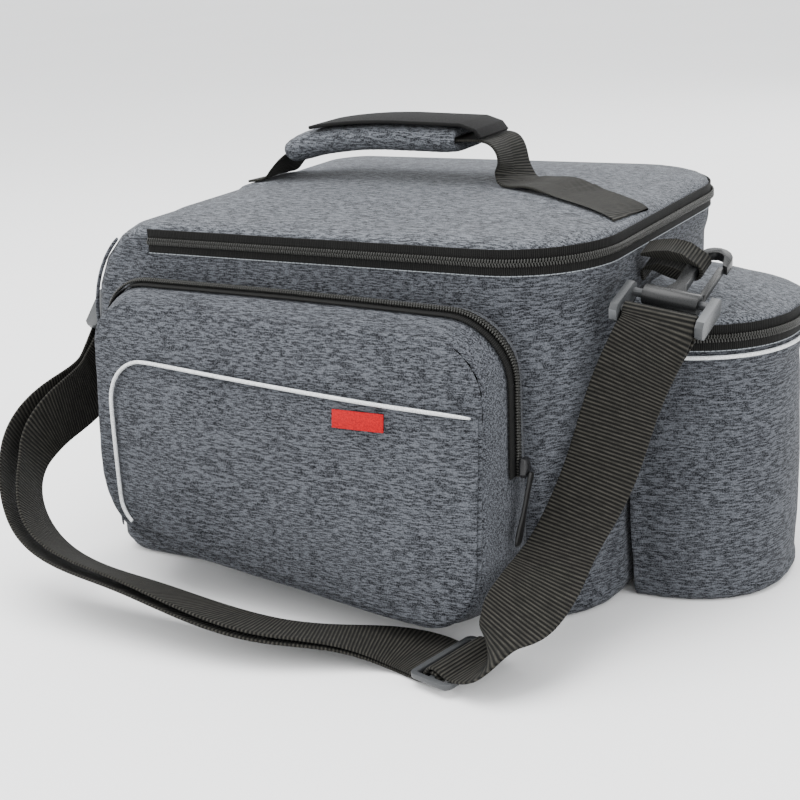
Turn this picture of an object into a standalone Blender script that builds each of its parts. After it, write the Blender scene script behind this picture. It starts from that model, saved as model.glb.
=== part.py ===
"""Bicycle trunk bag: a padded main compartment with a zipped lid, a zipped front pocket, a round
zipped bottle pocket on the right end, a carrying handle and a shoulder strap on two snap hooks.

Metres, +Z up. The origin is the centre of the main compartment's flat base, +X points to the bottle
pocket and -Y to the front pocket.
"""
import math

import bmesh
import bpy
import numpy as np
from mathutils import Matrix, Vector

# Main compartment
BODY_LENGTH = 0.320
BODY_DEPTH = 0.240
LID_SEAM_HEIGHT = 0.2005
BODY_WALL = 0.0045
BODY_FLOOR = 0.006
BODY_CORNER_RADIUS = 0.054
LEFT_CORNER_RADIUS = 0.020
BASE_EDGE_INSET = 0.007
SIDE_BULGE = 0.003
LEFT_ROLL_WIDTH = 0.052
LEFT_ROLL_START = 0.150
LID_CROWN = 0.0120
LID_WALL = 0.0045

# Zips, piping and the clearance that neighbours keep
SEAT_GAP = 0.0003
TAPE_WIDTH = 0.0135
TAPE_THICKNESS = 0.0008
COIL_WIDTH = 0.0042
COIL_THICKNESS = 0.0016
MAIN_ZIP_START = 0.054
PIPING_RADIUS = 0.0013
SLIDER_LENGTH = 0.011
SLIDER_WIDTH = 0.0085
SLIDER_HEIGHT = 0.0042
PULL_LENGTH = 0.040
PULL_WIDTH = 0.0075
PULL_THICKNESS = 0.0024

# Front pocket
POCKET_END_MARGIN = 0.033
POCKET_BELOW_SEAM = 0.0245
POCKET_WIDTH = BODY_LENGTH - 2.0 * POCKET_END_MARGIN
POCKET_HEIGHT = LID_SEAM_HEIGHT - POCKET_BELOW_SEAM
POCKET_TOP_DEPTH = 0.036
POCKET_SWELL = 0.016
POCKET_WALL = 0.0025
POCKET_PUFF = 0.009
GUSSET_PUFF = 0.003
OVERLAY_THICKNESS = 0.0012
OVERLAY_LIFT = 0.0009
POCKET_ZIP_SHARE = 0.40
LABEL_WIDTH = 0.030
LABEL_HEIGHT = 0.0095
LABEL_THICKNESS = 0.0010

# Bottle pocket
BOTTLE_WIDTH = 0.120
BOTTLE_REACH = 0.073
BOTTLE_HEIGHT = 0.152
BOTTLE_CENTRE_Y = -0.0035
BOTTLE_WALL = 0.0035
BOTTLE_CROWN = 0.016
BOTTLE_PIPING_DROP = 0.0105

# Handle
HANDLE_WEBBING_WIDTH = 0.038
WEBBING_THICKNESS = 0.0016
GRIP_HEIGHT = 0.017
GRIP_WIDTH = 0.044
GRIP_LENGTH = 0.126
FLAP_WIDTH = 0.036
FLAP_THICKNESS = 0.0022
HANDLE_RISE = 0.0258
LAID_CLEARANCE = 0.0016

# Shoulder strap and its hardware
STRAP_WIDTH = 0.039
HOOK_STAND_OFF = 0.031
HOOK_FORWARD = 0.072
HOOK_OVER_BOTTLE = 0.007
HOOK_HEIGHT = BOTTLE_HEIGHT + BOTTLE_CROWN + HOOK_OVER_BOTTLE
HOOK_CLIMB = math.radians(19.0)
HOOK_ROLL = math.radians(8.0)
LEFT_HOOK_STAND_OFF = 0.0105
LEFT_HOOK_HEIGHT = 0.140
LEFT_HOOK_CLIMB = math.radians(45.0)
FRAME_WIDTH = 0.050
FRAME_CHEEK = 0.0042
FRAME_CHEEK_LENGTH = 0.027
FRAME_CHEEK_HEIGHT = 0.011
BAR_SPACING = 0.0155
PIN_RADIUS = 0.0024
BAR_RADIUS = 0.0022
BARREL_LENGTH = 0.030
BARREL_RADIUS = 0.0055
HOOK_LENGTH = 0.050
HOOK_THICKNESS = 0.0055
STEM_WIDTH = 0.0062
HOOK_THROAT = 0.0095
NOSE_WIDTH = 0.0045
GATE_WIDTH = 0.0030
TAB_WIDTH = 0.013
TAB_FOOT = 0.008
BUCKLE_LENGTH = 0.047
BUCKLE_WIDTH = 0.027
BUCKLE_RAIL = 0.0034
BUCKLE_THICKNESS = 0.0030
BUCKLE_CORNER = 0.0040
BUCKLE_PLACE = (0.1175, -0.184, 0.0075)
BUCKLE_HEADING = math.radians(165.0)

FABRIC = (0.135, 0.150, 0.175)
WEBBING = (0.030, 0.030, 0.028)
SILVER = (0.62, 0.63, 0.63)
DARK_PLASTIC = (0.060, 0.062, 0.062)
RED = (0.62, 0.03, 0.035)


def remove_everything():
    for item in list(bpy.data.objects):
        bpy.data.objects.remove(item, do_unlink=True)


def principled(name, colour, roughness, metallic=0.0):
    material = bpy.data.materials.new(name)
    material.use_nodes = True
    shader = material.node_tree.nodes["Principled BSDF"]
    shader.inputs["Base Color"].default_value = (*colour, 1.0)
    shader.inputs["Roughness"].default_value = roughness
    shader.inputs["Metallic"].default_value = metallic
    return material


def add_object(name, mesh_data, colour, roughness=0.9, sharp=40.0, metallic=0.0):
    mesh_data.shade_smooth()
    mesh_data.set_sharp_from_angle(angle=math.radians(sharp))
    item = bpy.data.objects.new(name, mesh_data)
    item.data.materials.append(principled(name, colour, roughness, metallic))
    bpy.context.scene.collection.objects.link(item)
    return item


def closed_mesh(name, build):
    """A mesh made by build(bmesh), with its faces turned outwards."""
    shape = bmesh.new()
    build(shape)
    bmesh.ops.remove_doubles(shape, verts=shape.verts, dist=1e-6)
    bmesh.ops.recalc_face_normals(shape, faces=shape.faces)
    data = bpy.data.meshes.new(name)
    shape.to_mesh(data)
    shape.free()
    return data


def fan(shape, ring):
    """Closes a ring of vertices with triangles round their middle."""
    middle = shape.verts.new(sum((v.co for v in ring), Vector()) / len(ring))
    for here, there in zip(ring, ring[1:] + ring[:1]):
        shape.faces.new((here, there, middle))


def loft(shape, rings, closed_path=False, fans=True):
    """Quads between rings of points, with both ends closed unless the path comes back round."""
    rows = [[shape.verts.new(point) for point in ring] for ring in rings]
    pairs = list(zip(rows, rows[1:]))
    if closed_path:
        pairs.append((rows[-1], rows[0]))
    for lower, upper in pairs:
        count = len(lower)
        for i in range(count):
            j = (i + 1) % count
            shape.faces.new((lower[i], lower[j], upper[j], upper[i]))
    if not closed_path:
        for ring in (rows[0], rows[-1]):
            if fans:
                fan(shape, ring)
            else:
                shape.faces.new(ring)


def loft_object(name, rings, colour, closed_path=False, fans=True, **finish):
    data = closed_mesh(name, lambda shape: loft(shape, rings, closed_path, fans))
    return add_object(name, data, colour, **finish)


def arc(centre_x, centre_y, radius, start, stop, steps):
    """Points of an arc from start to stop degrees."""
    for step in range(steps + 1):
        angle = math.radians(start + (stop - start) * step / steps)
        yield centre_x + radius * math.cos(angle), centre_y + radius * math.sin(angle)


def curve_through(rows, count):
    """Points of a natural cubic curve through the rows, evenly spaced along it."""
    rows = np.asarray(rows, dtype=float)
    chord = np.linalg.norm(np.diff(rows[:, :3], axis=0), axis=1)
    place = np.concatenate(([0.0], np.cumsum(chord)))
    size = len(rows)
    system = np.zeros((size, size))
    right = np.zeros_like(rows)
    system[0, 0] = system[-1, -1] = 1.0
    for i in range(1, size - 1):
        before, after = chord[i - 1], chord[i]
        system[i, i - 1:i + 2] = before, 2.0 * (before + after), after
        right[i] = 6.0 * ((rows[i + 1] - rows[i]) / after - (rows[i] - rows[i - 1]) / before)
    bend = np.linalg.solve(system, right)
    points = []
    for at in np.linspace(0.0, place[-1], count):
        i = min(int(np.searchsorted(place, at, side="right")) - 1, size - 2)
        a, b = (place[i + 1] - at) / chord[i], (at - place[i]) / chord[i]
        curved = ((a ** 3 - a) * bend[i] + (b ** 3 - b) * bend[i + 1]) * chord[i] ** 2 / 6.0
        points.append(a * rows[i] + b * rows[i + 1] + curved)
    return np.array(points)


def direction(heading, tilt):
    return Vector((math.cos(tilt) * math.cos(heading), math.cos(tilt) * math.sin(heading), math.sin(tilt)))


def ribbon_rings(centres, across, width, thickness):
    """Sections of a flat strap along centres, with across giving its width's direction."""
    centres = [Vector(c) for c in centres]
    rings = []
    for i, (centre, side) in enumerate(zip(centres, across)):
        run = centres[min(i + 1, len(centres) - 1)] - centres[max(i - 1, 0)]
        side = (side - run * side.dot(run) / run.length_squared).normalized()
        up = run.cross(side).normalized()
        half, rise = side * width / 2.0, up * thickness / 2.0
        below, above = centre - rise, centre + rise
        rings.append([below - half, below + half, above + half, above - half])
    return rings


def ribbon_object(name, rings, colour=WEBBING, **finish):
    """A strap through its sections, whose two broad faces are split along the same diagonals."""
    def build(shape):
        rows = [[shape.verts.new(point) for point in ring] for ring in rings]
        for lower, upper in zip(rows, rows[1:]):
            for i in range(4):
                j = (i + 1) % 4
                if i < 2:
                    shape.faces.new((lower[i], lower[j], upper[j]))
                    shape.faces.new((lower[i], upper[j], upper[i]))
                else:
                    shape.faces.new((lower[i], lower[j], upper[i]))
                    shape.faces.new((lower[j], upper[j], upper[i]))
        shape.faces.new(rows[0])
        shape.faces.new(rows[-1])
    return add_object(name, closed_mesh(name, build), colour, **finish)


def tube(name, points, radius, colour, sides=6, **finish):
    """A round tube along points."""
    points = [Vector(p) for p in points]
    side = Vector((0.0, 0.0, 1.0))
    rings = []
    for i, point in enumerate(points):
        run = (points[min(i + 1, len(points) - 1)] - points[max(i - 1, 0)]).normalized()
        side = side - run * side.dot(run)
        if side.length < 0.2:
            side = run.orthogonal()
        side = side.normalized()
        up = run.cross(side)
        rings.append([point + (side * math.cos(math.tau * k / sides) + up * math.sin(math.tau * k / sides))
                      * radius for k in range(sides)])
    return loft_object(name, rings, colour, **finish)


# Main compartment

HALF_LENGTH = BODY_LENGTH / 2.0
HALF_DEPTH = BODY_DEPTH / 2.0
LID_EDGE_HEIGHT = LID_SEAM_HEIGHT + TAPE_WIDTH / 2.0
ROLL_RISE = LID_EDGE_HEIGHT + 0.25 * LID_CROWN - LEFT_ROLL_START


def left_edge(height):
    """X of the left end, which rolls over into the lid above LEFT_ROLL_START."""
    share = min(max((height - LEFT_ROLL_START) / ROLL_RISE, 0.0), 1.0)
    return -HALF_LENGTH + LEFT_ROLL_WIDTH * (1.0 - math.sqrt(1.0 - share ** 2))


def plan_ring(height, left, inset, bulge=0.0, arc_steps=6, side_steps=2):
    """The main compartment's outline at a height, counter-clockwise from its front left corner."""
    right, front = HALF_LENGTH - inset, -HALF_DEPTH + inset
    back = -front
    big = max(BODY_CORNER_RADIUS - inset, 0.012)
    small = min(max(LEFT_CORNER_RADIUS - inset * 0.3, 0.010), (right - left) / 4.0)
    corners = ((left + small, front + small, small, 180.0), (right - big, front + big, big, 270.0),
               (right - big, back - big, big, 0.0), (left + small, back - small, small, 90.0))
    outline = []
    for number, (x, y, radius, start) in enumerate(corners):
        corner = list(arc(x, y, radius, start, start + 90.0, arc_steps))
        outline += corner
        x2, y2, radius2, start2 = corners[(number + 1) % 4]
        first = Vector(corner[-1])
        last = Vector(next(arc(x2, y2, radius2, start2, start2, 1)))
        outward = Vector((math.cos(math.radians(start + 90.0)), math.sin(math.radians(start + 90.0))))
        for step in range(1, side_steps + 1):
            share = step / (side_steps + 1)
            point = first.lerp(last, share) + outward * bulge * math.sin(math.pi * share)
            outline.append((point.x, point.y))
    return [Vector((x, y, height)) for x, y in outline]


# Share of the seam height, share of the base inset, share of the side bulge
SHELL_SECTIONS = (
    (0.000, 1.00, 0.0),
    (0.012, 0.45, 0.0),
    (0.045, 0.00, 0.2),
    (0.300, 0.00, 0.9),
    (0.600, 0.00, 1.0),
    (0.750, 0.00, 0.7),
    (0.850, 0.00, 0.4),
    (0.930, 0.00, 0.2),
    (1.000, 0.00, 0.0),
)


def shell_ring(share, inset_share, bulge_share, wall=0.0):
    height = max(share * LID_SEAM_HEIGHT, BODY_FLOOR if wall else 0.0)
    inset = inset_share * BASE_EDGE_INSET + wall
    return plan_ring(height, left_edge(height) + inset, inset, bulge_share * SIDE_BULGE)


def main_shell():
    outside = [shell_ring(*row) for row in SHELL_SECTIONS]
    inside = [shell_ring(*row, wall=BODY_WALL) for row in SHELL_SECTIONS if row[0] > 0.02]
    floor = shell_ring(BODY_FLOOR / LID_SEAM_HEIGHT, 0.6, 0.0, wall=BODY_WALL)
    return loft_object("main_shell", outside + inside[::-1] + [floor], FABRIC)


def front_wall(x, z):
    """Y of the main compartment's outside on its front, at a place on it."""
    heights, insets, bulges = zip(*SHELL_SECTIONS)
    share = z / LID_SEAM_HEIGHT
    inset = float(np.interp(share, heights, insets)) * BASE_EDGE_INSET
    bulge = float(np.interp(share, heights, bulges)) * SIDE_BULGE
    first, last = -HALF_LENGTH + LEFT_CORNER_RADIUS, HALF_LENGTH - BODY_CORNER_RADIUS
    along = (x - first) / (last - first)
    swell = math.sin(math.pi / 3.0) * float(np.interp(along, (0, 1 / 3, 2 / 3, 1), (0, 1, 1, 0)))
    rounded = max(x - last, 0.0)
    corner = BODY_CORNER_RADIUS - math.sqrt(max(BODY_CORNER_RADIUS ** 2 - rounded ** 2, 0.0))
    return -HALF_DEPTH + inset - bulge * swell + corner


# Inset from the edge as a share of half the depth, rise as a share of the crown
LID_SECTIONS = (
    (0.000, 0.00),
    (0.022, 0.17),
    (0.090, 0.38),
    (0.220, 0.60),
    (0.450, 0.85),
    (0.800, 1.00),
)
LID_SEAM_CLEARANCE = 0.0004


def lid_height(x, y):
    """Height of the lid's outside above a point that is clear of its left roll."""
    inset = min(HALF_LENGTH - x, HALF_DEPTH - abs(y), x + HALF_LENGTH - LEFT_ROLL_WIDTH * 0.4)
    share = min(max(inset / HALF_DEPTH, 0.0), LID_SECTIONS[-1][0])
    shares, rises = zip(*LID_SECTIONS)
    return LID_EDGE_HEIGHT + LID_CROWN * float(np.interp(share, shares, rises))


def lid_rings(wall):
    rings = []
    seam = LID_SEAM_HEIGHT + LID_SEAM_CLEARANCE
    rings.append(plan_ring(seam, left_edge(seam) + wall, wall))
    for inset_share, rise in LID_SECTIONS:
        height = LID_EDGE_HEIGHT + LID_CROWN * rise
        inset = inset_share * HALF_DEPTH
        rolled = left_edge(min(height, LEFT_ROLL_START + ROLL_RISE))
        left = max(rolled, -HALF_LENGTH + LEFT_ROLL_WIDTH * 0.4 + inset)
        lowered = height - (wall if inset_share > 0.01 else 0.0)
        side = wall if inset_share < 0.1 else 0.0
        rings.append(plan_ring(lowered, left + side, inset + side))
    return rings


def main_lid():
    outside = lid_rings(0.0)
    inside = lid_rings(LID_WALL)
    rings = inside[::-1] + outside
    return loft_object("main_lid", rings, FABRIC)


def zip_path(outset, steps=9):
    """The main zip's way in plan: front side, right end and back side."""
    start = -HALF_LENGTH + MAIN_ZIP_START
    big = BODY_CORNER_RADIUS
    corner_x, corner_y = HALF_LENGTH - big, HALF_DEPTH - big
    path = [(start, -HALF_DEPTH - outset), (start * 0.4, -HALF_DEPTH - outset)]
    path += list(arc(corner_x, -corner_y, big + outset, 270.0, 360.0, steps))
    path += list(arc(corner_x, corner_y, big + outset, 0.0, 90.0, steps))
    path += [(start * 0.4, HALF_DEPTH + outset), (start, HALF_DEPTH + outset)]
    return path


def upright_band(name, path_at, inner, outer, low, high, colour, **finish):
    """A band that stands on edge along a way in plan; path_at(outset) gives the way."""
    rings = []
    for (ix, iy), (ox, oy) in zip(path_at(inner), path_at(outer)):
        rings.append([(ix, iy, low), (ox, oy, low), (ox, oy, high), (ix, iy, high)])
    return loft_object(name, rings, colour, fans=False, **finish)


def zip_pair(prefix, path_at, middle):
    inner = SEAT_GAP
    outer = inner + TAPE_THICKNESS
    upright_band(prefix + "_zip_tape", path_at, inner, outer, middle - TAPE_WIDTH / 2.0,
                 middle + TAPE_WIDTH / 2.0, WEBBING)
    inner = outer + SEAT_GAP
    upright_band(prefix + "_zip_coil", path_at, inner, inner + COIL_THICKNESS, middle - COIL_WIDTH / 2.0,
                 middle + COIL_WIDTH / 2.0, DARK_PLASTIC, roughness=0.5)


def block(shape, size, matrix):
    corners = bmesh.ops.create_cube(shape, size=1.0)["verts"]
    bmesh.ops.scale(shape, vec=size, verts=corners)
    bmesh.ops.transform(shape, matrix=matrix, verts=corners)


def frame_matrix(origin, x_axis, y_axis):
    """A placement whose local X and Y run along the given directions."""
    x_axis = Vector(x_axis).normalized()
    z_axis = x_axis.cross(Vector(y_axis)).normalized()
    y_axis = z_axis.cross(x_axis)
    turned = Matrix((x_axis, y_axis, z_axis)).transposed().to_4x4()
    return Matrix.Translation(Vector(origin)) @ turned


# Share of the length, share of the width: outline of a slider seen from above
SLIDER_OUTLINE = ((-0.50, 0.36), (-0.18, 0.50), (0.30, 0.50), (0.50, 0.30))
# Share of the length, share of the width, share of the thickness: a moulded pull from its eye down
PULL_SECTIONS = (
    (0.000, 0.55, 0.75),
    (0.060, 0.75, 1.00),
    (0.160, 0.60, 0.80),
    (0.550, 0.52, 0.80),
    (0.660, 0.78, 1.00),
    (0.900, 1.00, 1.00),
    (1.000, 0.80, 0.70),
)


def zip_slider(name, seat, along, out):
    """A slider on a coil: seat lies on the coil's face, along the zip, out away from the bag."""
    place = frame_matrix(seat, along, Vector(out).cross(Vector(along)))
    outline = [(u, v) for u, v in SLIDER_OUTLINE] + [(u, -v) for u, v in reversed(SLIDER_OUTLINE)]
    levels = ((0.0, 0.82), (0.25, 1.0), (0.8, 0.9), (1.0, 0.55))
    rings = []
    for rise, scale in levels:
        long, wide, high = SLIDER_LENGTH * scale, SLIDER_WIDTH * scale, rise * SLIDER_HEIGHT
        rings.append([place @ Vector((u * long, v * wide, high)) for u, v in outline])
    return loft_object(name, rings, DARK_PLASTIC, fans=False, roughness=0.35, metallic=0.6)


# Share of the half width, share of the half thickness: a pull's eight-sided section
PULL_OUTLINE = ((-1, -0.5), (-0.6, -1), (0.6, -1), (1, -0.5), (1, 0.5), (0.6, 1), (-0.6, 1), (-1, 0.5))


def zip_pull(name, eye, down, out):
    """A moulded pull that hangs from its eye."""
    place = frame_matrix(eye, down, Vector(out).cross(Vector(down)))
    rings = []
    for run, wide, thick in PULL_SECTIONS:
        half_w, half_t = wide * PULL_WIDTH / 2.0, thick * PULL_THICKNESS / 2.0
        rings.append([place @ Vector((run * PULL_LENGTH, w * half_w, t * half_t)) for w, t in PULL_OUTLINE])
    return loft_object(name, rings, WEBBING, fans=False, roughness=0.6)


def coil_face():
    return SEAT_GAP + TAPE_THICKNESS + SEAT_GAP + COIL_THICKNESS + SEAT_GAP


def main_zip():
    zip_pair("main", zip_path, LID_SEAM_HEIGHT)
    seat = (-HALF_LENGTH + MAIN_ZIP_START + SLIDER_LENGTH, HALF_DEPTH + coil_face(), LID_SEAM_HEIGHT)
    zip_slider("main_slider", seat, (-1, 0, 0), (0, 1, 0))
    eye = Vector(seat) + Vector((0, SLIDER_HEIGHT + SEAT_GAP + PULL_THICKNESS / 2.0, 0))
    zip_pull("main_pull", eye, (0, 0, -1), (0, 1, 0))


def corner_piping():
    """Covered piping up the seams between the left end and the front and back."""
    for name, side in (("corner_piping_front", -1.0), ("corner_piping_back", 1.0)):
        points = []
        for share in (0.06, 0.25, 0.50, 0.72, 0.78, 0.83, 0.88, 0.93, 0.97, 0.995):
            height = share * LID_SEAM_HEIGHT
            corner = LEFT_CORNER_RADIUS * (1.0 - math.sqrt(0.5))
            reach = corner - (PIPING_RADIUS + 1.5 * SEAT_GAP) * math.sqrt(0.5)
            points.append((left_edge(height) + reach, side * (HALF_DEPTH - reach), height))
        tube(name, points, PIPING_RADIUS, FABRIC)


# Front pocket

# Corner: x share of the width from the middle, height share, corner radius share of the height
POCKET_BACK = ((-0.515, 0.150, 0.24), (0.495, 0.030, 0.19), (0.500, 1.005, 0.19), (-0.508, 1.020, 0.17))
POCKET_FACE = ((-0.500, 0.215, 0.24), (0.485, 0.065, 0.19), (0.492, 0.960, 0.18), (-0.484, 0.985, 0.15))
OVERLAY = ((-0.418, 0.262, 0.10), (0.479, 0.080, 0.17), (0.487, 0.752, 0.01), (-0.430, 0.822, 0.15))


ARC_STEPS = 6
EDGE_POINTS = 3


def corner_outline(corners, inset=0.0):
    """(x, z) points of a four-cornered outline with rounded corners, counter-clockwise seen from -Y."""
    centres = [Vector((x * POCKET_WIDTH, z * POCKET_HEIGHT)) for x, z, _ in corners]
    middle = sum(centres, Vector((0.0, 0.0))) / 4.0
    outline = []
    for i, (x, z, share) in enumerate(corners):
        here = centres[i]
        before = (centres[i - 1] - here).normalized()
        after = (centres[(i + 1) % 4] - here).normalized()
        half = before.angle(after) / 2.0
        bisector = (before + after).normalized()
        radius = max(share * POCKET_HEIGHT, inset + 0.0006)
        core = here + bisector * radius / math.sin(half)
        start = core + (before * radius / math.tan(half) - bisector * radius / math.sin(half))
        stop = core + (after * radius / math.tan(half) - bisector * radius / math.sin(half))
        first = math.atan2(start.y - core.y, start.x - core.x)
        last = math.atan2(stop.y - core.y, stop.x - core.x)
        last += math.tau if last < first else 0.0
        for step in range(ARC_STEPS + 1):
            angle = first + (last - first) * step / ARC_STEPS
            outline.append(core + Vector((math.cos(angle), math.sin(angle))) * (radius - inset))
        for step in range(1, EDGE_POINTS + 1):
            share_along = step / (EDGE_POINTS + 1)
            nxt = centres[(i + 1) % 4]
            edge_point = here.lerp(nxt, share_along)
            normal = Vector((after.y, -after.x))
            normal = normal if normal.dot(edge_point - middle) > 0 else -normal
            first_free = here + after * radius / math.tan(half)
            back = (here - nxt).normalized()
            next_after = (centres[(i + 2) % 4] - nxt).normalized()
            next_half = back.angle(next_after) / 2.0
            next_radius = max(corners[(i + 1) % 4][2] * POCKET_HEIGHT, inset + 0.0006)
            last_free = nxt + back * next_radius / math.tan(next_half)
            outline.append(first_free.lerp(last_free, share_along) - normal * inset)
    return outline


def seam_y(x, z):
    """Y of the plane that the pocket's face seam lies in: it swells downwards and to the right."""
    low = 1.0 - z / POCKET_HEIGHT
    rightward = 0.5 + x / POCKET_WIDTH
    return -HALF_DEPTH - POCKET_TOP_DEPTH - POCKET_SWELL * low * (0.55 + 0.45 * rightward)


def face_y(x, z):
    """Y of the pocket face's outside, which puffs out between its seams."""
    across = min(abs(x / POCKET_WIDTH * 2.0), 1.0)
    up = min(abs((z / POCKET_HEIGHT - 0.52) * 2.15), 1.0)
    return seam_y(x, z) - POCKET_PUFF * (1.0 - across ** 3.0) * (1.0 - up ** 2.6)


def gusset_outline(depth_share, inset):
    """Ring of the pocket's wall at a share of the way from the bag to the face sheet's back."""
    back = corner_outline(POCKET_BACK, inset)
    face = corner_outline(POCKET_FACE, inset)
    edge = corner_outline(POCKET_FACE)
    middle = Vector((0.0, POCKET_HEIGHT * 0.52))
    swell = GUSSET_PUFF * 4.0 * depth_share * (1.0 - depth_share)
    ring = []
    for b, f, e in zip(back, face, edge):
        start = front_wall(b.x, b.y) - 1.5 * SEAT_GAP
        flat = b.lerp(f, depth_share)
        flat = flat + (flat - middle).normalized() * swell
        stop = face_y(e.x, e.y) + POCKET_WALL + 2.0 * SEAT_GAP
        y = start + (stop - start) * depth_share
        ring.append(Vector((flat.x, y, flat.y)))
    return ring


def pocket_gusset():
    shares = (0.0, 0.3, 0.65, 1.0)
    outside = [gusset_outline(share, 0.0) for share in shares]
    inside = [gusset_outline(share, POCKET_WALL) for share in shares]
    rings = outside + inside[::-1]
    return loft_object("pocket_gusset", rings, FABRIC, closed_path=True)


# Shares of the way in from the sheet's edge to its middle
FACE_SHARES = (0.0, 0.05, 0.14, 0.30, 0.52, 0.76)


def pocket_sheet(name, corners, front_offset, thickness):
    """A sheet that follows the pocket's puffed face, between two offsets from it."""
    outline = corner_outline(corners)
    middle = sum(outline, Vector((0.0, 0.0))) / len(outline)
    front, back = [], []
    for share in FACE_SHARES:
        ring = [point.lerp(middle, share) for point in outline]
        front.append([Vector((p.x, face_y(p.x, p.y) - front_offset, p.y)) for p in ring])
        back.append([Vector((p.x, face_y(p.x, p.y) - front_offset + thickness, p.y)) for p in ring])
    return loft_object(name, front[::-1] + back, FABRIC)


def pocket_front():
    return pocket_sheet("pocket_front", POCKET_FACE, 0.0, POCKET_WALL)


def pocket_overlay():
    return pocket_sheet("pocket_overlay", OVERLAY, OVERLAY_LIFT + OVERLAY_THICKNESS, OVERLAY_THICKNESS)


def overlay_edge():
    """The overlay's left and top edge from its lower left corner to its right end."""
    outline = corner_outline(OVERLAY)
    per_corner = len(outline) // 4
    return outline[3 * per_corner - EDGE_POINTS - 1:] + outline[:per_corner // 2]


def pocket_piping():
    lift = OVERLAY_LIFT + OVERLAY_THICKNESS + 1.5 * SEAT_GAP + PIPING_RADIUS
    points = []
    for p in overlay_edge():
        points.append((p.x, face_y(p.x, p.y) - lift, p.y))
    return tube("pocket_piping", points, PIPING_RADIUS, SILVER, roughness=0.35)


def label_tab():
    """The blank red tab that hangs out of the piping's seam."""
    top = 0.742 * POCKET_HEIGHT
    left = 0.170 * POCKET_WIDTH
    lift = OVERLAY_LIFT + OVERLAY_THICKNESS + SEAT_GAP
    rings = []
    for share in (0.0, 0.5, 1.0):
        x = left + share * LABEL_WIDTH
        ring = []
        for z in (top, top - LABEL_HEIGHT):
            ring.append((x, face_y(x, z) - lift, z))
        for z in (top - LABEL_HEIGHT, top):
            ring.append((x, face_y(x, z) - lift - LABEL_THICKNESS, z))
        rings.append(ring)
    return loft_object("label_tab", rings, RED, fans=False, roughness=0.5)


def gusset_strip(name, low_share, high_share, inner, outer, colour, **finish):
    """A strip along the gusset's outside from its top left corner to low on its right side."""
    def rim(share, lift):
        ring = gusset_outline(share, -lift)
        per_corner = len(ring) // 4
        return ring[2 * per_corner - 2:3 * per_corner + ARC_STEPS - 1][::-1]
    edges = [rim(low_share, inner), rim(high_share, inner), rim(high_share, outer), rim(low_share, outer)]
    rings = [list(section) for section in zip(*edges)]
    return loft_object(name, rings, colour, fans=False, **finish)


def pocket_zip():
    depth = POCKET_TOP_DEPTH + 0.5 * POCKET_SWELL
    tape = TAPE_WIDTH / depth / 2.0
    coil = COIL_WIDTH / depth / 2.0
    inner = SEAT_GAP * 2.0
    outer = inner + TAPE_THICKNESS
    gusset_strip("pocket_zip_tape", POCKET_ZIP_SHARE - tape, POCKET_ZIP_SHARE + tape, inner, outer, WEBBING)
    raised = outer + SEAT_GAP
    gusset_strip("pocket_zip_coil", POCKET_ZIP_SHARE - coil, POCKET_ZIP_SHARE + coil, raised,
                 raised + COIL_THICKNESS, DARK_PLASTIC, roughness=0.5)
    lift = raised + COIL_THICKNESS + SEAT_GAP
    ring = gusset_outline(POCKET_ZIP_SHARE, -lift)
    low, high = ring[len(ring) // 2 - 2], ring[len(ring) // 2 - 1]
    seat = low.lerp(high, 0.2)
    along = (low - high).normalized()
    zip_slider("pocket_slider", seat, along, (1, 0, 0))
    eye = seat + Vector((SLIDER_HEIGHT + SEAT_GAP + PULL_THICKNESS / 2.0, 0, -0.002))
    zip_pull("pocket_pull", eye, (-0.14, -0.22, -1), (1, 0, 0))


# Bottle pocket

WALL_X = HALF_LENGTH + SIDE_BULGE + SEAT_GAP
# Share of the height, share of the wall by which the section is set in
BOTTLE_SECTIONS = ((0.000, 1.5), (0.018, 0.5), (0.060, 0.0), (0.450, -0.6), (0.850, -0.2), (1.000, -0.4))


def bottle_half(outset, steps=16):
    """The bottle pocket's rounded side in plan, from the front junction to the back one."""
    points = []
    for step in range(steps + 1):
        angle = math.radians(-90.0 + 180.0 * step / steps)
        c, s = math.cos(angle), math.sin(angle)
        x = abs(c) ** (2.0 / 2.35) * (BOTTLE_REACH + outset)
        y = math.copysign(abs(s) ** (2.0 / 2.35), s) * (BOTTLE_WIDTH / 2.0 + outset)
        points.append((WALL_X + x, BOTTLE_CENTRE_Y + y))
    return points


def bottle_ring(height, inset, back=0.0, steps=16):
    """A closed D outline: the rounded side, then the flat back along the bag's end."""
    side = bottle_half(-inset, steps)
    side = [(max(x, WALL_X + back), y) for x, y in side]
    first, last = side[0], side[-1]
    flat = [(WALL_X + back, last[1] + (first[1] - last[1]) * k / 5.0) for k in range(1, 5)]
    return [Vector((x, y, height)) for x, y in side + flat]


def bottle_shell():
    outside = [bottle_ring(share * BOTTLE_HEIGHT, inset * BOTTLE_WALL) for share, inset in BOTTLE_SECTIONS]
    back = BOTTLE_WALL / 2.0
    inside = [bottle_ring(max(share * BOTTLE_HEIGHT, BOTTLE_WALL), (inset + 1.0) * BOTTLE_WALL, back)
              for share, inset in BOTTLE_SECTIONS if share > 0.02]
    floor = bottle_ring(BOTTLE_WALL, 2.0 * BOTTLE_WALL, back)
    return loft_object("bottle_shell", outside + inside[::-1] + [floor], FABRIC)


# Share of the way in from the rim, rise share at that ring
BOTTLE_LID_SECTIONS = ((0.00, 0.00), (0.05, 0.14), (0.20, 0.36), (0.45, 0.62), (0.75, 0.82))


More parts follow.
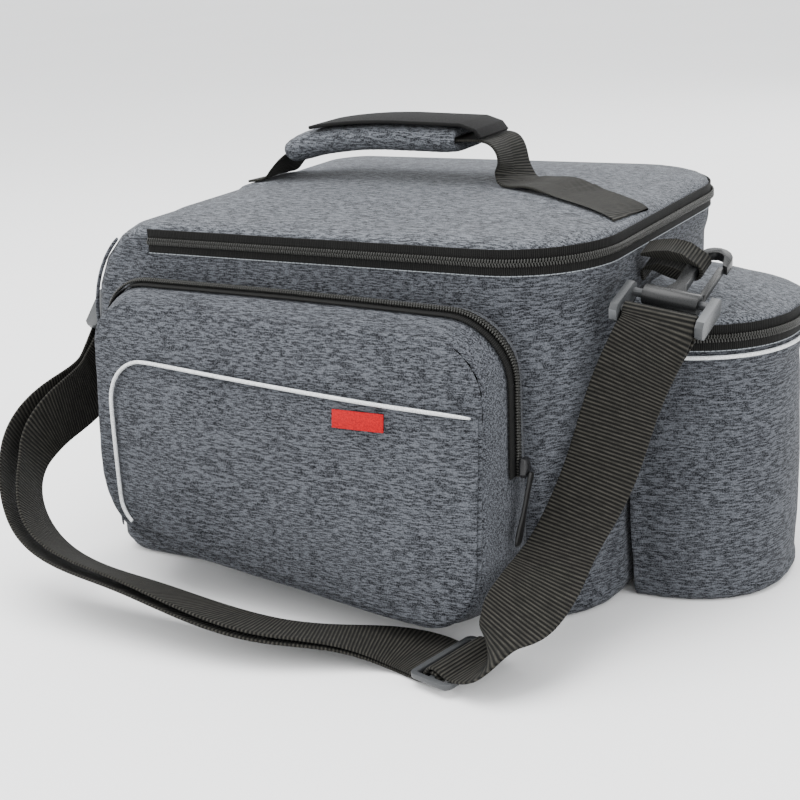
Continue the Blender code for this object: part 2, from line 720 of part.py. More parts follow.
def bottle_lid():
    """A domed D lid that also climbs towards the bag's end."""
    base = BOTTLE_HEIGHT + 2.0 * SEAT_GAP
    rim = bottle_ring(base, BOTTLE_SECTIONS[-1][1] * BOTTLE_WALL)
    top = base + TAPE_WIDTH / 2.0
    centre = Vector((WALL_X + BOTTLE_REACH * 0.30, BOTTLE_CENTRE_Y, 0.0))

    def rings(wall):
        stack = []
        for share, rise in BOTTLE_LID_SECTIONS:
            ring = []
            for point in rim:
                flat = Vector((point.x, point.y, 0.0)).lerp(centre, share)
                flat.x = max(flat.x, WALL_X)
                if abs(point.x - WALL_X) < 1e-6:
                    flat.x = WALL_X
                near = 1.0 - (flat.x - WALL_X) / BOTTLE_REACH
                dome = 0.55 * rise + 0.45 * near * min(rise * 3.0, 1.0)
                flat.z = top + BOTTLE_CROWN * dome - (wall if share else 0.0)
                if wall:
                    pull = centre - flat
                    pull.z = 0.0
                    if share < 0.1:
                        flat += pull.normalized() * wall * (1.0 if share == 0.0 else 0.5)
                    flat.x = max(flat.x, WALL_X + wall / 2.0)
                ring.append(flat)
            stack.append(ring)
        foot = [Vector((p.x, p.y, base)) for p in stack[0]]
        return [foot] + stack

    return loft_object("bottle_lid", rings(BOTTLE_WALL * 0.7)[::-1] + rings(0.0), FABRIC)


def bottle_zip():
    swell = -BOTTLE_SECTIONS[-1][1] * BOTTLE_WALL

    def way(outset):
        return bottle_half(outset + swell, 24)[1:-1]

    zip_pair("bottle", way, BOTTLE_HEIGHT)
    lift = coil_face()
    (x0, y0), (x1, y1) = way(lift)[-3], way(lift)[-2]
    along = Vector((x0 - x1, y0 - y1, 0.0)).normalized()
    out = Vector((0.0, 0.0, 1.0)).cross(along)
    out = out if out.y > 0 else -out
    seat = Vector(((x0 + x1) / 2.0, (y0 + y1) / 2.0, BOTTLE_HEIGHT))
    zip_slider("bottle_slider", seat, along, out)
    zip_pull("bottle_pull", seat + out * (SLIDER_HEIGHT + SEAT_GAP + PULL_THICKNESS / 2.0), (0, 0, -1), out)

    height = BOTTLE_HEIGHT - BOTTLE_PIPING_DROP
    points = [(x, y, height) for x, y in bottle_half(swell + SEAT_GAP + PIPING_RADIUS, 24)[1:-1]]
    tube("bottle_piping", points, PIPING_RADIUS, SILVER, roughness=0.35)


# Handle

# Share of half the body length, share of half the depth, height (0 on the lid, 1 at the grip's
# middle) and the heading of the webbing's width in degrees
HANDLE_ROUTE = (
    (0.950, -0.300, 0.00, -113.0),
    (0.750, -0.180, 0.00, -113.0),
    (0.560, -0.070, 0.05, -108.0),
    (0.445, -0.015, 0.13, -95.0),
    (0.432, -0.003, 0.45, -90.0),
    (0.405, 0.000, 0.86, -90.0),
    (0.300, 0.000, 0.98, -90.0),
    (0.000, 0.000, 1.00, -90.0),
    (-0.310, 0.000, 0.86, -90.0),
    (-0.470, 0.000, 0.56, -90.0),
    (-0.530, 0.000, 0.28, -90.0),
    (-0.580, 0.000, 0.04, -90.0),
    (-0.615, 0.000, 0.00, -90.0),
    (-0.660, 0.000, 0.00, -90.0),
)


def handle_rest(x, y):
    """Height of the webbing's middle where it lies on the lid."""
    return lid_height(x, y) + WEBBING_THICKNESS / 2.0 + LAID_CLEARANCE


def handle_curve(count=56):
    """Rows of x, y, z, height share and width heading along the handle's webbing."""
    rows = []
    peak = LID_EDGE_HEIGHT + LID_CROWN + HANDLE_RISE
    for x_share, y_share, lift, heading in HANDLE_ROUTE:
        x, y = x_share * HALF_LENGTH, y_share * HALF_DEPTH
        rest = handle_rest(x, y)
        rows.append((x, y, rest + (peak - rest) * lift, lift, heading))
    rows = curve_through(rows, count)
    for row in rows:
        rest = handle_rest(row[0], row[1])
        row[2] = rest + (peak - rest) * max(row[3], 0.0)
    return rows


def handle_webbing(rows):
    """The webbing, whose two edges follow the lid where it lies on it."""
    rings = []
    for i, (x, y, z, lift, heading) in enumerate(rows):
        run = Vector(rows[min(i + 1, len(rows) - 1)][:3]) - Vector(rows[max(i - 1, 0)][:3])
        side = direction(math.radians(heading), 0.0)
        side = (side - run * side.dot(run) / run.length_squared).normalized()
        up = run.cross(side).normalized() * WEBBING_THICKNESS / 2.0
        edges = []
        for end in (-1.0, 1.0):
            edge = Vector((x, y, z)) + side * end * HANDLE_WEBBING_WIDTH / 2.0
            laid = handle_rest(edge.x, edge.y) - handle_rest(x, y)
            edge.z += laid * max(0.0, 1.0 - max(lift, 0.0) * 4.0)
            edges.append(edge)
        rings.append([edges[0] - up, edges[1] - up, edges[1] + up, edges[0] + up])
    return ribbon_object("handle_webbing", rings)


GRIP_START = 0.300 * HALF_LENGTH
GRIP_CLEAR_OF_LID = 0.006
# Ends of the flap's flat part as shares of half the body length, then its droop past the right one:
# run and drop from the flat part's end
FLAP_ENDS = (-0.375, 0.230)
FLAP_DROOP = ((0.0270, 0.0080), (0.0235, 0.0035), (0.0140, 0.0005))
FLAP_FORWARD = 0.003


def above_lid(points, left, right):
    """The handle's points between two places along it that stand clear of the lid."""
    low = LID_EDGE_HEIGHT + LID_CROWN + GRIP_CLEAR_OF_LID
    return [p for p in points if left < p.x < right and p.z > low]


def flat_round(half_width, half_height, steps=4):
    """(across, up) points of a flat section with round ends."""
    radius = half_height
    core = half_width - radius
    section = list(arc(core, 0.0, radius, -90.0, 90.0, steps))
    section += list(arc(-core, 0.0, radius, 90.0, 270.0, steps))
    return section


def sweep(points, section_at):
    """Rings of (across, up) sections along the handle, whose width runs along -Y."""
    rings = []
    for i, point in enumerate(points):
        run = (points[min(i + 1, len(points) - 1)] - points[max(i - 1, 0)]).normalized()
        side = Vector((0.0, -1.0, 0.0))
        side = (side - run * side.dot(run)).normalized()
        up = side.cross(run)
        up = up if up.z > 0 or abs(up.z) < 0.05 and up.x > 0 else -up
        rings.append([point + side * a + up * b for a, b in section_at(i / (len(points) - 1))])
    return rings


def handle_grip(points):
    stretch = above_lid(points, GRIP_START - GRIP_LENGTH, GRIP_START)

    def outer(share):
        end = min(share, 1.0 - share) / 0.08
        pinch = 1.0 - 0.14 * max(0.0, 1.0 - end)
        return flat_round(GRIP_WIDTH / 2.0, GRIP_HEIGHT / 2.0 * pinch)

    def inner(_share):
        slack = WEBBING_THICKNESS / 2.0 + SEAT_GAP * 1.5
        return flat_round(HANDLE_WEBBING_WIDTH / 2.0 + SEAT_GAP * 3.0, slack)

    rings = sweep(stretch, outer) + sweep(stretch, inner)[::-1]
    return loft_object("handle_grip", rings, FABRIC, closed_path=True)


def handle_flap(points):
    """The wrap's closing flap, laid over the grip and drooping past its right end."""
    top = GRIP_HEIGHT / 2.0 + SEAT_GAP + FLAP_THICKNESS / 2.0
    stretch = above_lid(points, FLAP_ENDS[0] * HALF_LENGTH, FLAP_ENDS[1] * HALF_LENGTH)
    centres = []
    for i, p in enumerate(stretch):
        run = (stretch[min(i + 1, len(stretch) - 1)] - stretch[max(i - 1, 0)]).normalized()
        up = Vector((0.0, -1.0, 0.0)).cross(run)
        up = up if up.z > 0 else -up
        centres.append(p + up * top)
    first = centres[0]
    droop = [first + Vector((run, 0.0, -drop)) for run, drop in FLAP_DROOP]
    centres = [centre - Vector((0.0, FLAP_FORWARD, 0.0)) for centre in droop + centres]
    across = [Vector((0.0, -1.0, 0.0))] * len(centres)
    rings = ribbon_rings(centres, across, FLAP_WIDTH, FLAP_THICKNESS)
    return loft_object("handle_flap", rings, WEBBING, fans=False)


# Snap hooks

def hook_place(side):
    """The hook's placement: local X along its pin, local Y along its stem, local Z off its flat face.

    The right hook lies across the end with the strap pulled forwards, and the left one lies along it.
    """
    if side > 0:
        origin = Vector((HALF_LENGTH + HOOK_STAND_OFF, -HOOK_FORWARD, HOOK_HEIGHT))
        pin = Vector((math.cos(HOOK_ROLL), 0.0, -math.sin(HOOK_ROLL)))
        stem = Vector((0.0, math.cos(HOOK_CLIMB), math.sin(HOOK_CLIMB)))
    else:
        origin = Vector((-HALF_LENGTH - LEFT_HOOK_STAND_OFF, -HOOK_FORWARD, LEFT_HOOK_HEIGHT))
        pin = Vector((0.0, -math.sin(LEFT_HOOK_CLIMB), math.cos(LEFT_HOOK_CLIMB)))
        stem = Vector((0.0, math.cos(LEFT_HOOK_CLIMB), math.sin(LEFT_HOOK_CLIMB)))
    stem = (stem - pin * stem.dot(pin)).normalized()
    up = pin.cross(stem)
    turned = Matrix((pin, stem, up)).transposed().to_4x4()
    return Matrix.Translation(origin) @ turned


def add_rod(shape, radius, length, centre, sides):
    """A round rod along local X."""
    made = bmesh.ops.create_cone(shape, cap_ends=True, segments=sides, radius1=radius, radius2=radius,
                                 depth=length)
    turn = Matrix.Rotation(math.radians(90.0), 4, "Y")
    bmesh.ops.transform(shape, matrix=Matrix.Translation(Vector(centre)) @ turn, verts=made["verts"])


def temporary(name, build):
    data = closed_mesh(name, build)
    item = bpy.data.objects.new(name, data)
    bpy.context.scene.collection.objects.link(item)
    return item


def combine(name, items, operations, place, colour, **finish):
    """One solid from temporary objects, joined or cut one after another and then put in its place."""
    base = items[0]
    for item, operation in zip(items[1:], operations):
        modifier = base.modifiers.new(operation, "BOOLEAN")
        modifier.operation = operation
        modifier.object = item
    bpy.context.view_layer.update()
    evaluated = base.evaluated_get(bpy.context.evaluated_depsgraph_get())
    data = bpy.data.meshes.new_from_object(evaluated)
    data.name = name
    data.transform(place)
    for item in items:
        bpy.data.objects.remove(item, do_unlink=True)
    data.materials.clear()
    return add_object(name, data, colour, **finish)


def prism(shape, outline, low, high):
    """A solid of an (x, y) outline between two heights."""
    lower = [shape.verts.new((x, y, low)) for x, y in outline]
    upper = [shape.verts.new((x, y, high)) for x, y in outline]
    count = len(outline)
    for i in range(count):
        j = (i + 1) % count
        shape.faces.new((lower[i], lower[j], upper[j], upper[i]))
    shape.faces.new(lower[::-1])
    shape.faces.new(upper)


def hook_frame(side_name, side):
    """Two bevelled cheeks joined by the hook's pin and the webbing's bar."""
    place = hook_place(side)
    cheek_middle = (FRAME_WIDTH - FRAME_CHEEK) / 2.0
    low, high = -BAR_SPACING - 0.0075, -BAR_SPACING - 0.0075 + FRAME_CHEEK_LENGTH
    half = FRAME_CHEEK_HEIGHT / 2.0
    chamfer = half * 0.45
    outline = ((low + chamfer, -half), (high - chamfer, -half), (high, -half + chamfer),
               (high, half - chamfer), (high - chamfer, half), (low + chamfer, half),
               (low, half - chamfer), (low, -half + chamfer))

    def cheek(offset):
        def build(shape):
            inner = [shape.verts.new((offset - FRAME_CHEEK / 2.0, y, z)) for y, z in outline]
            outer = [shape.verts.new((offset + FRAME_CHEEK / 2.0, y, z)) for y, z in outline]
            for i in range(len(outline)):
                j = (i + 1) % len(outline)
                shape.faces.new((inner[i], inner[j], outer[j], outer[i]))
            shape.faces.new(inner[::-1])
            shape.faces.new(outer)
        return build

    def rod(radius, y, sides):
        return lambda shape: add_rod(shape, radius, FRAME_WIDTH - FRAME_CHEEK, (0.0, y, 0.0), sides)

    items = [temporary("cheek_a", cheek(-cheek_middle)), temporary("cheek_b", cheek(cheek_middle)),
             temporary("pin", rod(PIN_RADIUS, 0.0, 10)), temporary("bar", rod(BAR_RADIUS, -BAR_SPACING, 8))]
    return combine("hook_frame_" + side_name, items, ["UNION"] * 3, place, DARK_PLASTIC, roughness=0.3)


def hook_outline():
    """(x, y) outline of the stem, round nose and its return, in the hook's plane."""
    stem = STEM_WIDTH / 2.0
    inner_x = stem + HOOK_THROAT / 2.0
    bowl = HOOK_THROAT / 2.0
    top = HOOK_LENGTH - NOSE_WIDTH - bowl
    outer = list(arc(inner_x, top, bowl + NOSE_WIDTH, 180.0, 0.0, 8))
    outer[0] = (-stem, top)
    inner = list(arc(inner_x, top, bowl, 0.0, 180.0, 6))
    tip = top - 0.006
    outline = [(-stem - 0.0035, BARREL_RADIUS * 0.7), (-stem, BARREL_RADIUS * 2.1)] + outer
    outline += [(inner_x + bowl + NOSE_WIDTH, tip - 0.001), (inner_x + bowl + NOSE_WIDTH * 0.35, tip)]
    outline += inner
    outline += [(stem, BARREL_RADIUS * 2.1), (stem + 0.0035, BARREL_RADIUS * 0.7)]
    return outline[::-1]


def hook_body(side_name, side):
    place = hook_place(side)
    half = HOOK_THICKNESS / 2.0
    bore = PIN_RADIUS + 1.4 * SEAT_GAP
    items = [
        temporary("barrel", lambda s: add_rod(s, BARREL_RADIUS, BARREL_LENGTH, (0, 0, 0), 12)),
        temporary("stem", lambda s: prism(s, hook_outline(), -half, half)),
        temporary("bore", lambda s: add_rod(s, bore, BARREL_LENGTH * 1.2, (0, 0, 0), 12)),
    ]
    return combine("hook_" + side_name, items, ["UNION", "DIFFERENCE"], place, DARK_PLASTIC, roughness=0.4)


def gate_line():
    """Local X of the gate's middle, and the Y of its root and tip."""
    x = STEM_WIDTH / 2.0 + HOOK_THROAT + NOSE_WIDTH * 0.35 - GATE_WIDTH * 0.1
    root = BARREL_RADIUS + SEAT_GAP + GATE_WIDTH / 2.0
    tip = HOOK_LENGTH - NOSE_WIDTH - HOOK_THROAT / 2.0 - 0.006 - SEAT_GAP * 1.5
    return x, root, tip


def hook_gate(side_name, side):
    """The lever that closes the throat, with a round root that it turns on."""
    place = hook_place(side)
    x, root, tip = gate_line()
    half = GATE_WIDTH / 2.0
    outline = list(arc(x, root, half, 180.0, 360.0, 6)) + [(x + half, tip - 0.001), (x - half, tip - 0.001)]
    thick = HOOK_THICKNESS * 0.42
    data = closed_mesh("hook_gate_" + side_name, lambda s: prism(s, outline, -thick, thick))
    data.transform(place)
    return add_object("hook_gate_" + side_name, data, DARK_PLASTIC, roughness=0.4)


def webbing_tab(side_name, side):
    """A webbing loop sewn to the bag's end, which holds the hook's stem just before its nose."""
    place = hook_place(side)
    stem_y = HOOK_LENGTH - NOSE_WIDTH - HOOK_THROAT / 2.0 - TAB_WIDTH * 0.55
    held = place @ Vector((0.0, stem_y, 0.0))
    width = place.col[1].to_3d()
    pin, up = place.col[0].to_3d(), place.col[2].to_3d()
    slack = 2.0 * SEAT_GAP + WEBBING_THICKNESS / 2.0
    if side > 0:
        out, apart = pin, up
        leg, reach = HOOK_THICKNESS / 2.0 + slack, STEM_WIDTH / 2.0 + slack
    else:
        out, apart = up, pin
        leg, reach = STEM_WIDTH / 2.0 + slack, HOOK_THICKNESS / 2.0 + slack
    bulge = SIDE_BULGE if side > 0 else SIDE_BULGE * 0.55
    wall = HALF_LENGTH + bulge + SEAT_GAP + WEBBING_THICKNESS / 2.0
    lower, upper = held - apart * leg, held + apart * leg
    turn = leg * 0.30

    def to_wall(point, short=0.0):
        return point - out * ((abs(point.x) - wall - short) / abs(out.x))

    sewn = to_wall(lower)
    points = [
        sewn - apart * TAB_FOOT,
        sewn - apart * TAB_FOOT * 0.35,
        to_wall(lower, TAB_FOOT * 0.2),
        lower + out * (reach - turn),
        lower + out * reach + apart * turn,
        upper + out * reach - apart * turn,
        upper + out * (reach - turn),
        to_wall(upper, TAB_FOOT * 0.1),
    ]
    for point in points[:2]:
        point.x = math.copysign(wall, side)
    rings = ribbon_rings(points, [width] * len(points), TAB_WIDTH, WEBBING_THICKNESS)
    return ribbon_object("tab_" + side_name, rings)


# Strap routes: shares of the body length, depth and seam height, then the width's heading and tilt
# in degrees, and on the doubled run how far its two layers stand apart
RIGHT_ROUTE = (
    (0.5450, -0.3950, 0.650, 8.0, -14.0),
    (0.5150, -0.4550, 0.450, 0.0, -14.0),
    (0.4820, -0.5840, 0.274, -9.0, -9.0),
    (0.4550, -0.7490, 0.170, -17.0, -12.0),
    (0.4310, -0.7890, 0.1050, -50.0, 22.0),
)
LEFT_ROUTE = (
    (0.1600, -0.7800, 0.040, 105.0, -11.0, 0.4),
    (0.0440, -0.8450, 0.062, 101.0, -15.0, 1.0),
    (-0.2280, -0.8670, 0.125, 90.0, -26.0, 2.0),
    (-0.4840, -0.8250, 0.215, 100.0, -35.0, 4.0),
    (-0.5650, -0.7210, 0.395, 110.0, -47.0, 6.0),
    (-0.5560, -0.6330, 0.470, 95.0, -52.0, 5.0),
    (-0.5420, -0.4350, 0.540, 90.0, -45.0, 0.6),
)


def route_rows(route):
    rows = []
    for x, y, z, heading, tilt, *apart in route:
        rows.append((x * BODY_LENGTH, y * BODY_DEPTH, z * LID_SEAM_HEIGHT, heading, tilt, *apart))
    return rows


def bar_turn(place, radius, start, stop, steps):
    """Points round the webbing's bar: 0 degrees faces away from the stem, 90 off the hook's face."""
    points = []
    for step in range(steps + 1):
        angle = math.radians(start + (stop - start) * step / steps)
        away = -BAR_SPACING - radius * math.cos(angle)
        points.append(place @ Vector((0.0, away, radius * math.sin(angle))))
    return points


def buckle_levels():
    """Rises of the strap's middle: on the plate's face, over the sewn end, and under the other layer."""
    face = BUCKLE_THICKNESS / 2.0 + SEAT_GAP + WEBBING_THICKNESS / 2.0
    return face, face + WEBBING_THICKNESS + 3.0 * SEAT_GAP, face + WEBBING_THICKNESS + 2.0 * SEAT_GAP


def buckle_path():
    """(run, rise) points of the strap over the right rail and middle bar and under the left rail."""
    face, crest, _ = buckle_levels()
    rail = BUCKLE_WIDTH / 2.0
    return [(-rail - BUCKLE_RAIL * 0.3, face), (-rail + BUCKLE_RAIL * 1.2, face),
            (-BUCKLE_RAIL * 0.9, crest), (BUCKLE_RAIL * 0.65, crest),
            (rail - BUCKLE_RAIL * 1.3, -face * 0.93), (rail - BUCKLE_RAIL * 0.7, -face * 1.05),
            (rail + BUCKLE_RAIL * 0.7, -face * 1.03)]


def middle_bar_turn():
    """(run, rise) points of the sewn end, from under the left rail to round the middle bar."""
    face, _, under = buckle_levels()
    side = BUCKLE_RAIL / 2.0 + SEAT_GAP + WEBBING_THICKNESS / 2.0
    rail = BUCKLE_WIDTH / 2.0
    return [(rail + BUCKLE_RAIL * 0.3, -under), (rail - BUCKLE_RAIL, -under), (rail * 0.45, -under * 0.80),
            (side * 0.5, -face), (-side * 0.65, -face * 1.05), (-side * 1.12, -face * 0.58),
            (-side * 1.12, face * 0.58), (-side * 0.65, face * 1.05), (side * 0.5, face)]


def shoulder_strap():
    """The whole strap: sewn fold, right bar, slider, left bar, and back to the slider's middle bar."""
    right, left, buckle = hook_place(1.0), hook_place(-1.0), buckle_place()
    pin_right, pin_left = right.col[0].to_3d(), left.col[0].to_3d()
    bars = buckle.col[1].to_3d()
    radius = BAR_RADIUS + SEAT_GAP + WEBBING_THICKNESS / 2.0
    centres, across = [], []

    def add(points, sides):
        for point, side in zip(points, sides):
            flipped = -side if across and side.dot(across[-1]) < 0 else side
            centres.append(Vector(point))
            across.append(flipped.normalized())

    turn = bar_turn(right, radius, 200.0, 22.0, 6)
    off_bar = turn[-1] + Vector((-0.001, -0.0015, -0.006))
    weave = [buckle @ Vector((x, 0.0, z)) for x, z in buckle_path()]
    bars_heading = math.degrees(math.atan2(bars.y, bars.x))
    bars_tilt = math.degrees(math.asin(bars.z))
    lead = weave[0] - (weave[1] - weave[0]) * 0.6
    rows = [(*off_bar, 0.0, -math.degrees(HOOK_ROLL))] + route_rows(RIGHT_ROUTE)
    rows += [(*lead, bars_heading, bars_tilt), (*weave[0], bars_heading, bars_tilt)]
    main_run = curve_through(rows, 30)
    main_sides = [direction(math.radians(h), math.radians(t)) for *_, h, t in main_run]
    fold = []
    for i in range(7):
        here, there = Vector(main_run[i][:3]), Vector(main_run[i + 1][:3])
        normal = (there - here).normalized().cross(main_sides[i]).normalized()
        normal = normal if normal.y > 0 else -normal
        share = i / 6.0
        opened = (2.0 * radius - WEBBING_THICKNESS) * (1.0 - share) ** 2.0
        apart = WEBBING_THICKNESS + 2.0 * SEAT_GAP + opened
        fold.append((here + normal * apart, main_sides[i]))
    fold = fold[::-1]
    add([p for p, _ in fold], [s for _, s in fold])
    add(turn, [pin_right] * len(turn))
    add([Vector(row[:3]) for row in main_run], main_sides)
    add(weave[1:], [bars] * len(weave))

    wrap = [buckle @ Vector((x, 0.0, z)) for x, z in middle_bar_turn()]
    leave = bar_turn(left, radius, 270.0, 90.0, 6)
    before = leave[-1] - left.col[1].to_3d() * 0.012
    pin_heading, pin_tilt = 90.0, math.degrees(LEFT_HOOK_CLIMB) - 90.0
    start = wrap[0] + buckle.col[0].to_3d() * 0.012
    rows = [(*wrap[0], bars_heading + 180.0, -bars_tilt, 0.0),
            (*start, bars_heading + 184.0, -bars_tilt, 0.0)]
    rows += route_rows(LEFT_ROUTE)
    rows += [(*before, pin_heading, pin_tilt, 0.0), (*leave[-1], pin_heading, pin_tilt, 0.0)]
    lower = curve_through(rows, 46)
    sides = [direction(math.radians(h), math.radians(t)) for *_, h, t, _ in lower]
    upper = []
    last = len(lower) - 1
    for i in range(1, last):
        here = Vector(lower[i][:3])
        run = Vector(lower[i + 1][:3]) - Vector(lower[i - 1][:3])
        side = (sides[i] - run * sides[i].dot(run) / run.length_squared).normalized()
        normal = -run.normalized().cross(side)
        near_bar = max(0.0, (i / last - 0.93) / 0.07)
        layer = WEBBING_THICKNESS + 2.0 * SEAT_GAP + max(lower[i][5], 0.0) * WEBBING_THICKNESS
        upper.append((here + normal * (layer + (2.0 * radius - layer) * near_bar), side))
    add([p for p, _ in upper], [s for _, s in upper])
    add(leave, [pin_left] * len(leave))
    add([Vector(row[:3]) for row in lower[last - 1:0:-1]], sides[last - 1:0:-1])
    add(wrap, [bars] * len(wrap))
    return ribbon_object("shoulder_strap", ribbon_rings(centres, across, STRAP_WIDTH, WEBBING_THICKNESS))


def buckle_place():
    """Local X along the strap's run towards the left, local Y along the bars."""
    run = direction(BUCKLE_HEADING, 0.0)
    bars = direction(BUCKLE_HEADING + math.radians(90.0), math.radians(-3.0))
    return frame_matrix(BUCKLE_PLACE, run, bars)


def slider_buckle():
    place = buckle_place()
    half_run, half_bar = BUCKLE_WIDTH / 2.0, BUCKLE_LENGTH / 2.0
    rise = BUCKLE_THICKNESS / 2.0
    cx, cy = half_run - BUCKLE_CORNER, half_bar - BUCKLE_CORNER
    outline = []
    for x, y, start in ((cx, cy, 0.0), (-cx, cy, 90.0), (-cx, -cy, 180.0), (cx, -cy, 270.0)):
        outline += list(arc(x, y, BUCKLE_CORNER, start, start + 90.0, 4))
    window_run = (BUCKLE_WIDTH - 3.0 * BUCKLE_RAIL) / 2.0
    middle = (window_run + BUCKLE_RAIL) / 2.0
    window_bar = BUCKLE_LENGTH - 2.0 * BUCKLE_RAIL

    def window(offset):
        def build(shape):
            block(shape, (window_run, window_bar, rise * 6.0), Matrix.Translation((offset, 0.0, 0.0)))
        return build

    items = [temporary("plate", lambda s: prism(s, outline, -rise, rise)),
             temporary("window_a", window(middle)), temporary("window_b", window(-middle))]
    return combine("slider_buckle", items, ["DIFFERENCE"] * 2, place, DARK_PLASTIC, roughness=0.3)


def main():
    remove_everything()
    main_shell()
    main_lid()
    main_zip()
    corner_piping()
    pocket_gusset()
    pocket_front()
    pocket_overlay()
    pocket_piping()
    label_tab()
    pocket_zip()
    bottle_shell()
    bottle_lid()
    bottle_zip()
    rows = handle_curve()
    handle_webbing(rows)
    points = [Vector(row[:3]) for row in rows]
    handle_grip(points)
    handle_flap(points)
    for side_name, side in (("right", 1.0), ("left", -1.0)):
        hook_frame(side_name, side)
        hook_body(side_name, side)
        hook_gate(side_name, side)
        webbing_tab(side_name, side)
    slider_buckle()
    shoulder_strap()


main()
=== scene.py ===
# %% [markdown]
# # A padded trunk bag for a bicycle rack
#
# The bag is soft cloth over padding, with webbing, zips and moulded fittings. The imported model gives
# every piece its place and size. This lesson dresses it: each soft solid is rebuilt as stuffed cloth,
# each strap as ribbed webbing, each zip gets its teeth, and every surface gets a procedural finish.

# %% Load the frame
import itertools
import math

import bmesh
import bpy
import numpy as np
from mathutils import Matrix, Vector, noise
from mathutils.bvhtree import BVHTree


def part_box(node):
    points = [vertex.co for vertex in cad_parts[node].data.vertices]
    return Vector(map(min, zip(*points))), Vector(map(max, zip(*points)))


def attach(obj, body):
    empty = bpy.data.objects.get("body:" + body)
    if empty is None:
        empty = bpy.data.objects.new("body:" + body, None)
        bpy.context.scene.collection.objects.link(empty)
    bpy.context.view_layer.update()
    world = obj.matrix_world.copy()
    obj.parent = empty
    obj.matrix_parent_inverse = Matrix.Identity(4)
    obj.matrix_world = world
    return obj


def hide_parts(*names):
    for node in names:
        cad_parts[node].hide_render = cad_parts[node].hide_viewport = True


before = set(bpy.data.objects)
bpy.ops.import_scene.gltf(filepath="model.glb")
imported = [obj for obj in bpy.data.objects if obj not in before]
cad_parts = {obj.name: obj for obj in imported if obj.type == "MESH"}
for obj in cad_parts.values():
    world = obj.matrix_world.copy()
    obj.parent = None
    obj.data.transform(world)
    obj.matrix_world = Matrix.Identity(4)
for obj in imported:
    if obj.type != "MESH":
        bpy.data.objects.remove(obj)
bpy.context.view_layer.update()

MM = 0.001
scene = bpy.context.scene
print("nodes", len(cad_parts))

# %% [markdown]
# The camera stands in front and to the right, a little above the lid. Its place, turn and lens were
# fitted to the outline of the bag, so the render lies over the view that was asked for.

# %% Camera
CAMERA_PLACE = Vector((464.29, -807.56, 377.24)) * MM
CAMERA_YAW, CAMERA_PITCH, CAMERA_ROLL = 0.53753, 0.3095, -0.063251
CAMERA_LENS = 70.18


def camera_turn(yaw, pitch, roll):
    """The camera's axes, as a matrix, from its turn left, its tilt down and its roll."""
    forward = Vector((-math.sin(yaw) * math.cos(pitch), math.cos(yaw) * math.cos(pitch), -math.sin(pitch)))
    right = Vector((math.cos(yaw), math.sin(yaw), 0.0))
    up = right.cross(forward)
    rolled = right * math.cos(roll) + up * math.sin(roll)
    upright = up * math.cos(roll) - right * math.sin(roll)
    return Matrix((rolled, upright, -forward)).transposed().to_4x4()


lens = bpy.data.cameras.new("view")
lens.lens = CAMERA_LENS
lens.sensor_width = 36.0
lens.clip_start, lens.clip_end = 0.01, 50.0
camera = bpy.data.objects.new("view", lens)
camera.matrix_world = Matrix.Translation(CAMERA_PLACE) @ camera_turn(CAMERA_YAW, CAMERA_PITCH, CAMERA_ROLL)
scene.collection.objects.link(camera)
scene.camera = camera

# %% [markdown]
# A studio set for cloth needs one large soft light from above, which rakes over the weave, and a weak
# light from each side, so that the dark straps keep their edges. The floor is a plain pale sheet.

# %% Floor and lights
FLOOR_SIZE = 16.0
SET_CENTRE = Vector((0.02, -0.03, 0.11))
LIGHTS = {
    "above": ((-0.25, -0.35, 1.70), 1.50, 46.0),
    "left": ((-1.60, -1.30, 0.90), 1.20, 24.0),
    "right": ((1.70, -0.60, 0.95), 1.10, 18.0),
    "behind": ((0.30, 1.70, 1.10), 1.20, 16.0),
}


def deselect():
    bpy.ops.object.select_all(action="DESELECT")


def activate(piece):
    """Makes a piece the only selected one, which is what an operator acts on."""
    deselect()
    piece.select_set(True)
    bpy.context.view_layer.objects.active = piece


deselect()
bpy.ops.mesh.primitive_plane_add(size=FLOOR_SIZE, location=(0.0, 0.0, 0.0))
floor = bpy.context.object
floor.name = "floor"

for name, (place, size, power) in LIGHTS.items():
    light = bpy.data.lights.new("light_" + name, "AREA")
    light.size = size
    light.energy = power
    lamp = bpy.data.objects.new("light_" + name, light)
    lamp.location = place
    lamp.rotation_euler = (Vector(place) - SET_CENTRE).to_track_quat("Z", "Y").to_euler()
    scene.collection.objects.link(lamp)

world = bpy.data.worlds.new("studio")
world.use_nodes = True
world.node_tree.nodes["Background"].inputs["Color"].default_value = (0.98, 0.99, 1.0, 1.0)
world.node_tree.nodes["Background"].inputs["Strength"].default_value = 1.9
scene.world = world

# %% [markdown]
# Every finish is a small tree of nodes. These helpers add a node with its values and join it to the
# ones before it, so that each finish below reads as a list of what it is made of.

# %% Helpers for finishes


def new_finish(name, colour, roughness, **sockets):
    """A material with its shader's plain values set."""
    finish = bpy.data.materials.new(name)
    finish.use_nodes = True
    shader = finish.node_tree.nodes["Principled BSDF"]
    shader.inputs["Base Color"].default_value = (*colour, 1.0)
    shader.inputs["Roughness"].default_value = roughness
    for socket, value in sockets.items():
        shader.inputs[socket.replace("_", " ")].default_value = value
    return finish


def add(finish, kind, inputs=None, **settings):
    """Adds a node. An input's value is a number, or the socket that feeds it."""
    node = finish.node_tree.nodes.new(kind)
    for key, value in settings.items():
        setattr(node, key, value)
    for key, value in (inputs or {}).items():
        if isinstance(value, bpy.types.NodeSocket):
            finish.node_tree.links.new(value, node.inputs[key])
        else:
            node.inputs[key].default_value = value
    return node


def into_shader(finish, socket, source):
    finish.node_tree.links.new(source, finish.node_tree.nodes["Principled BSDF"].inputs[socket])


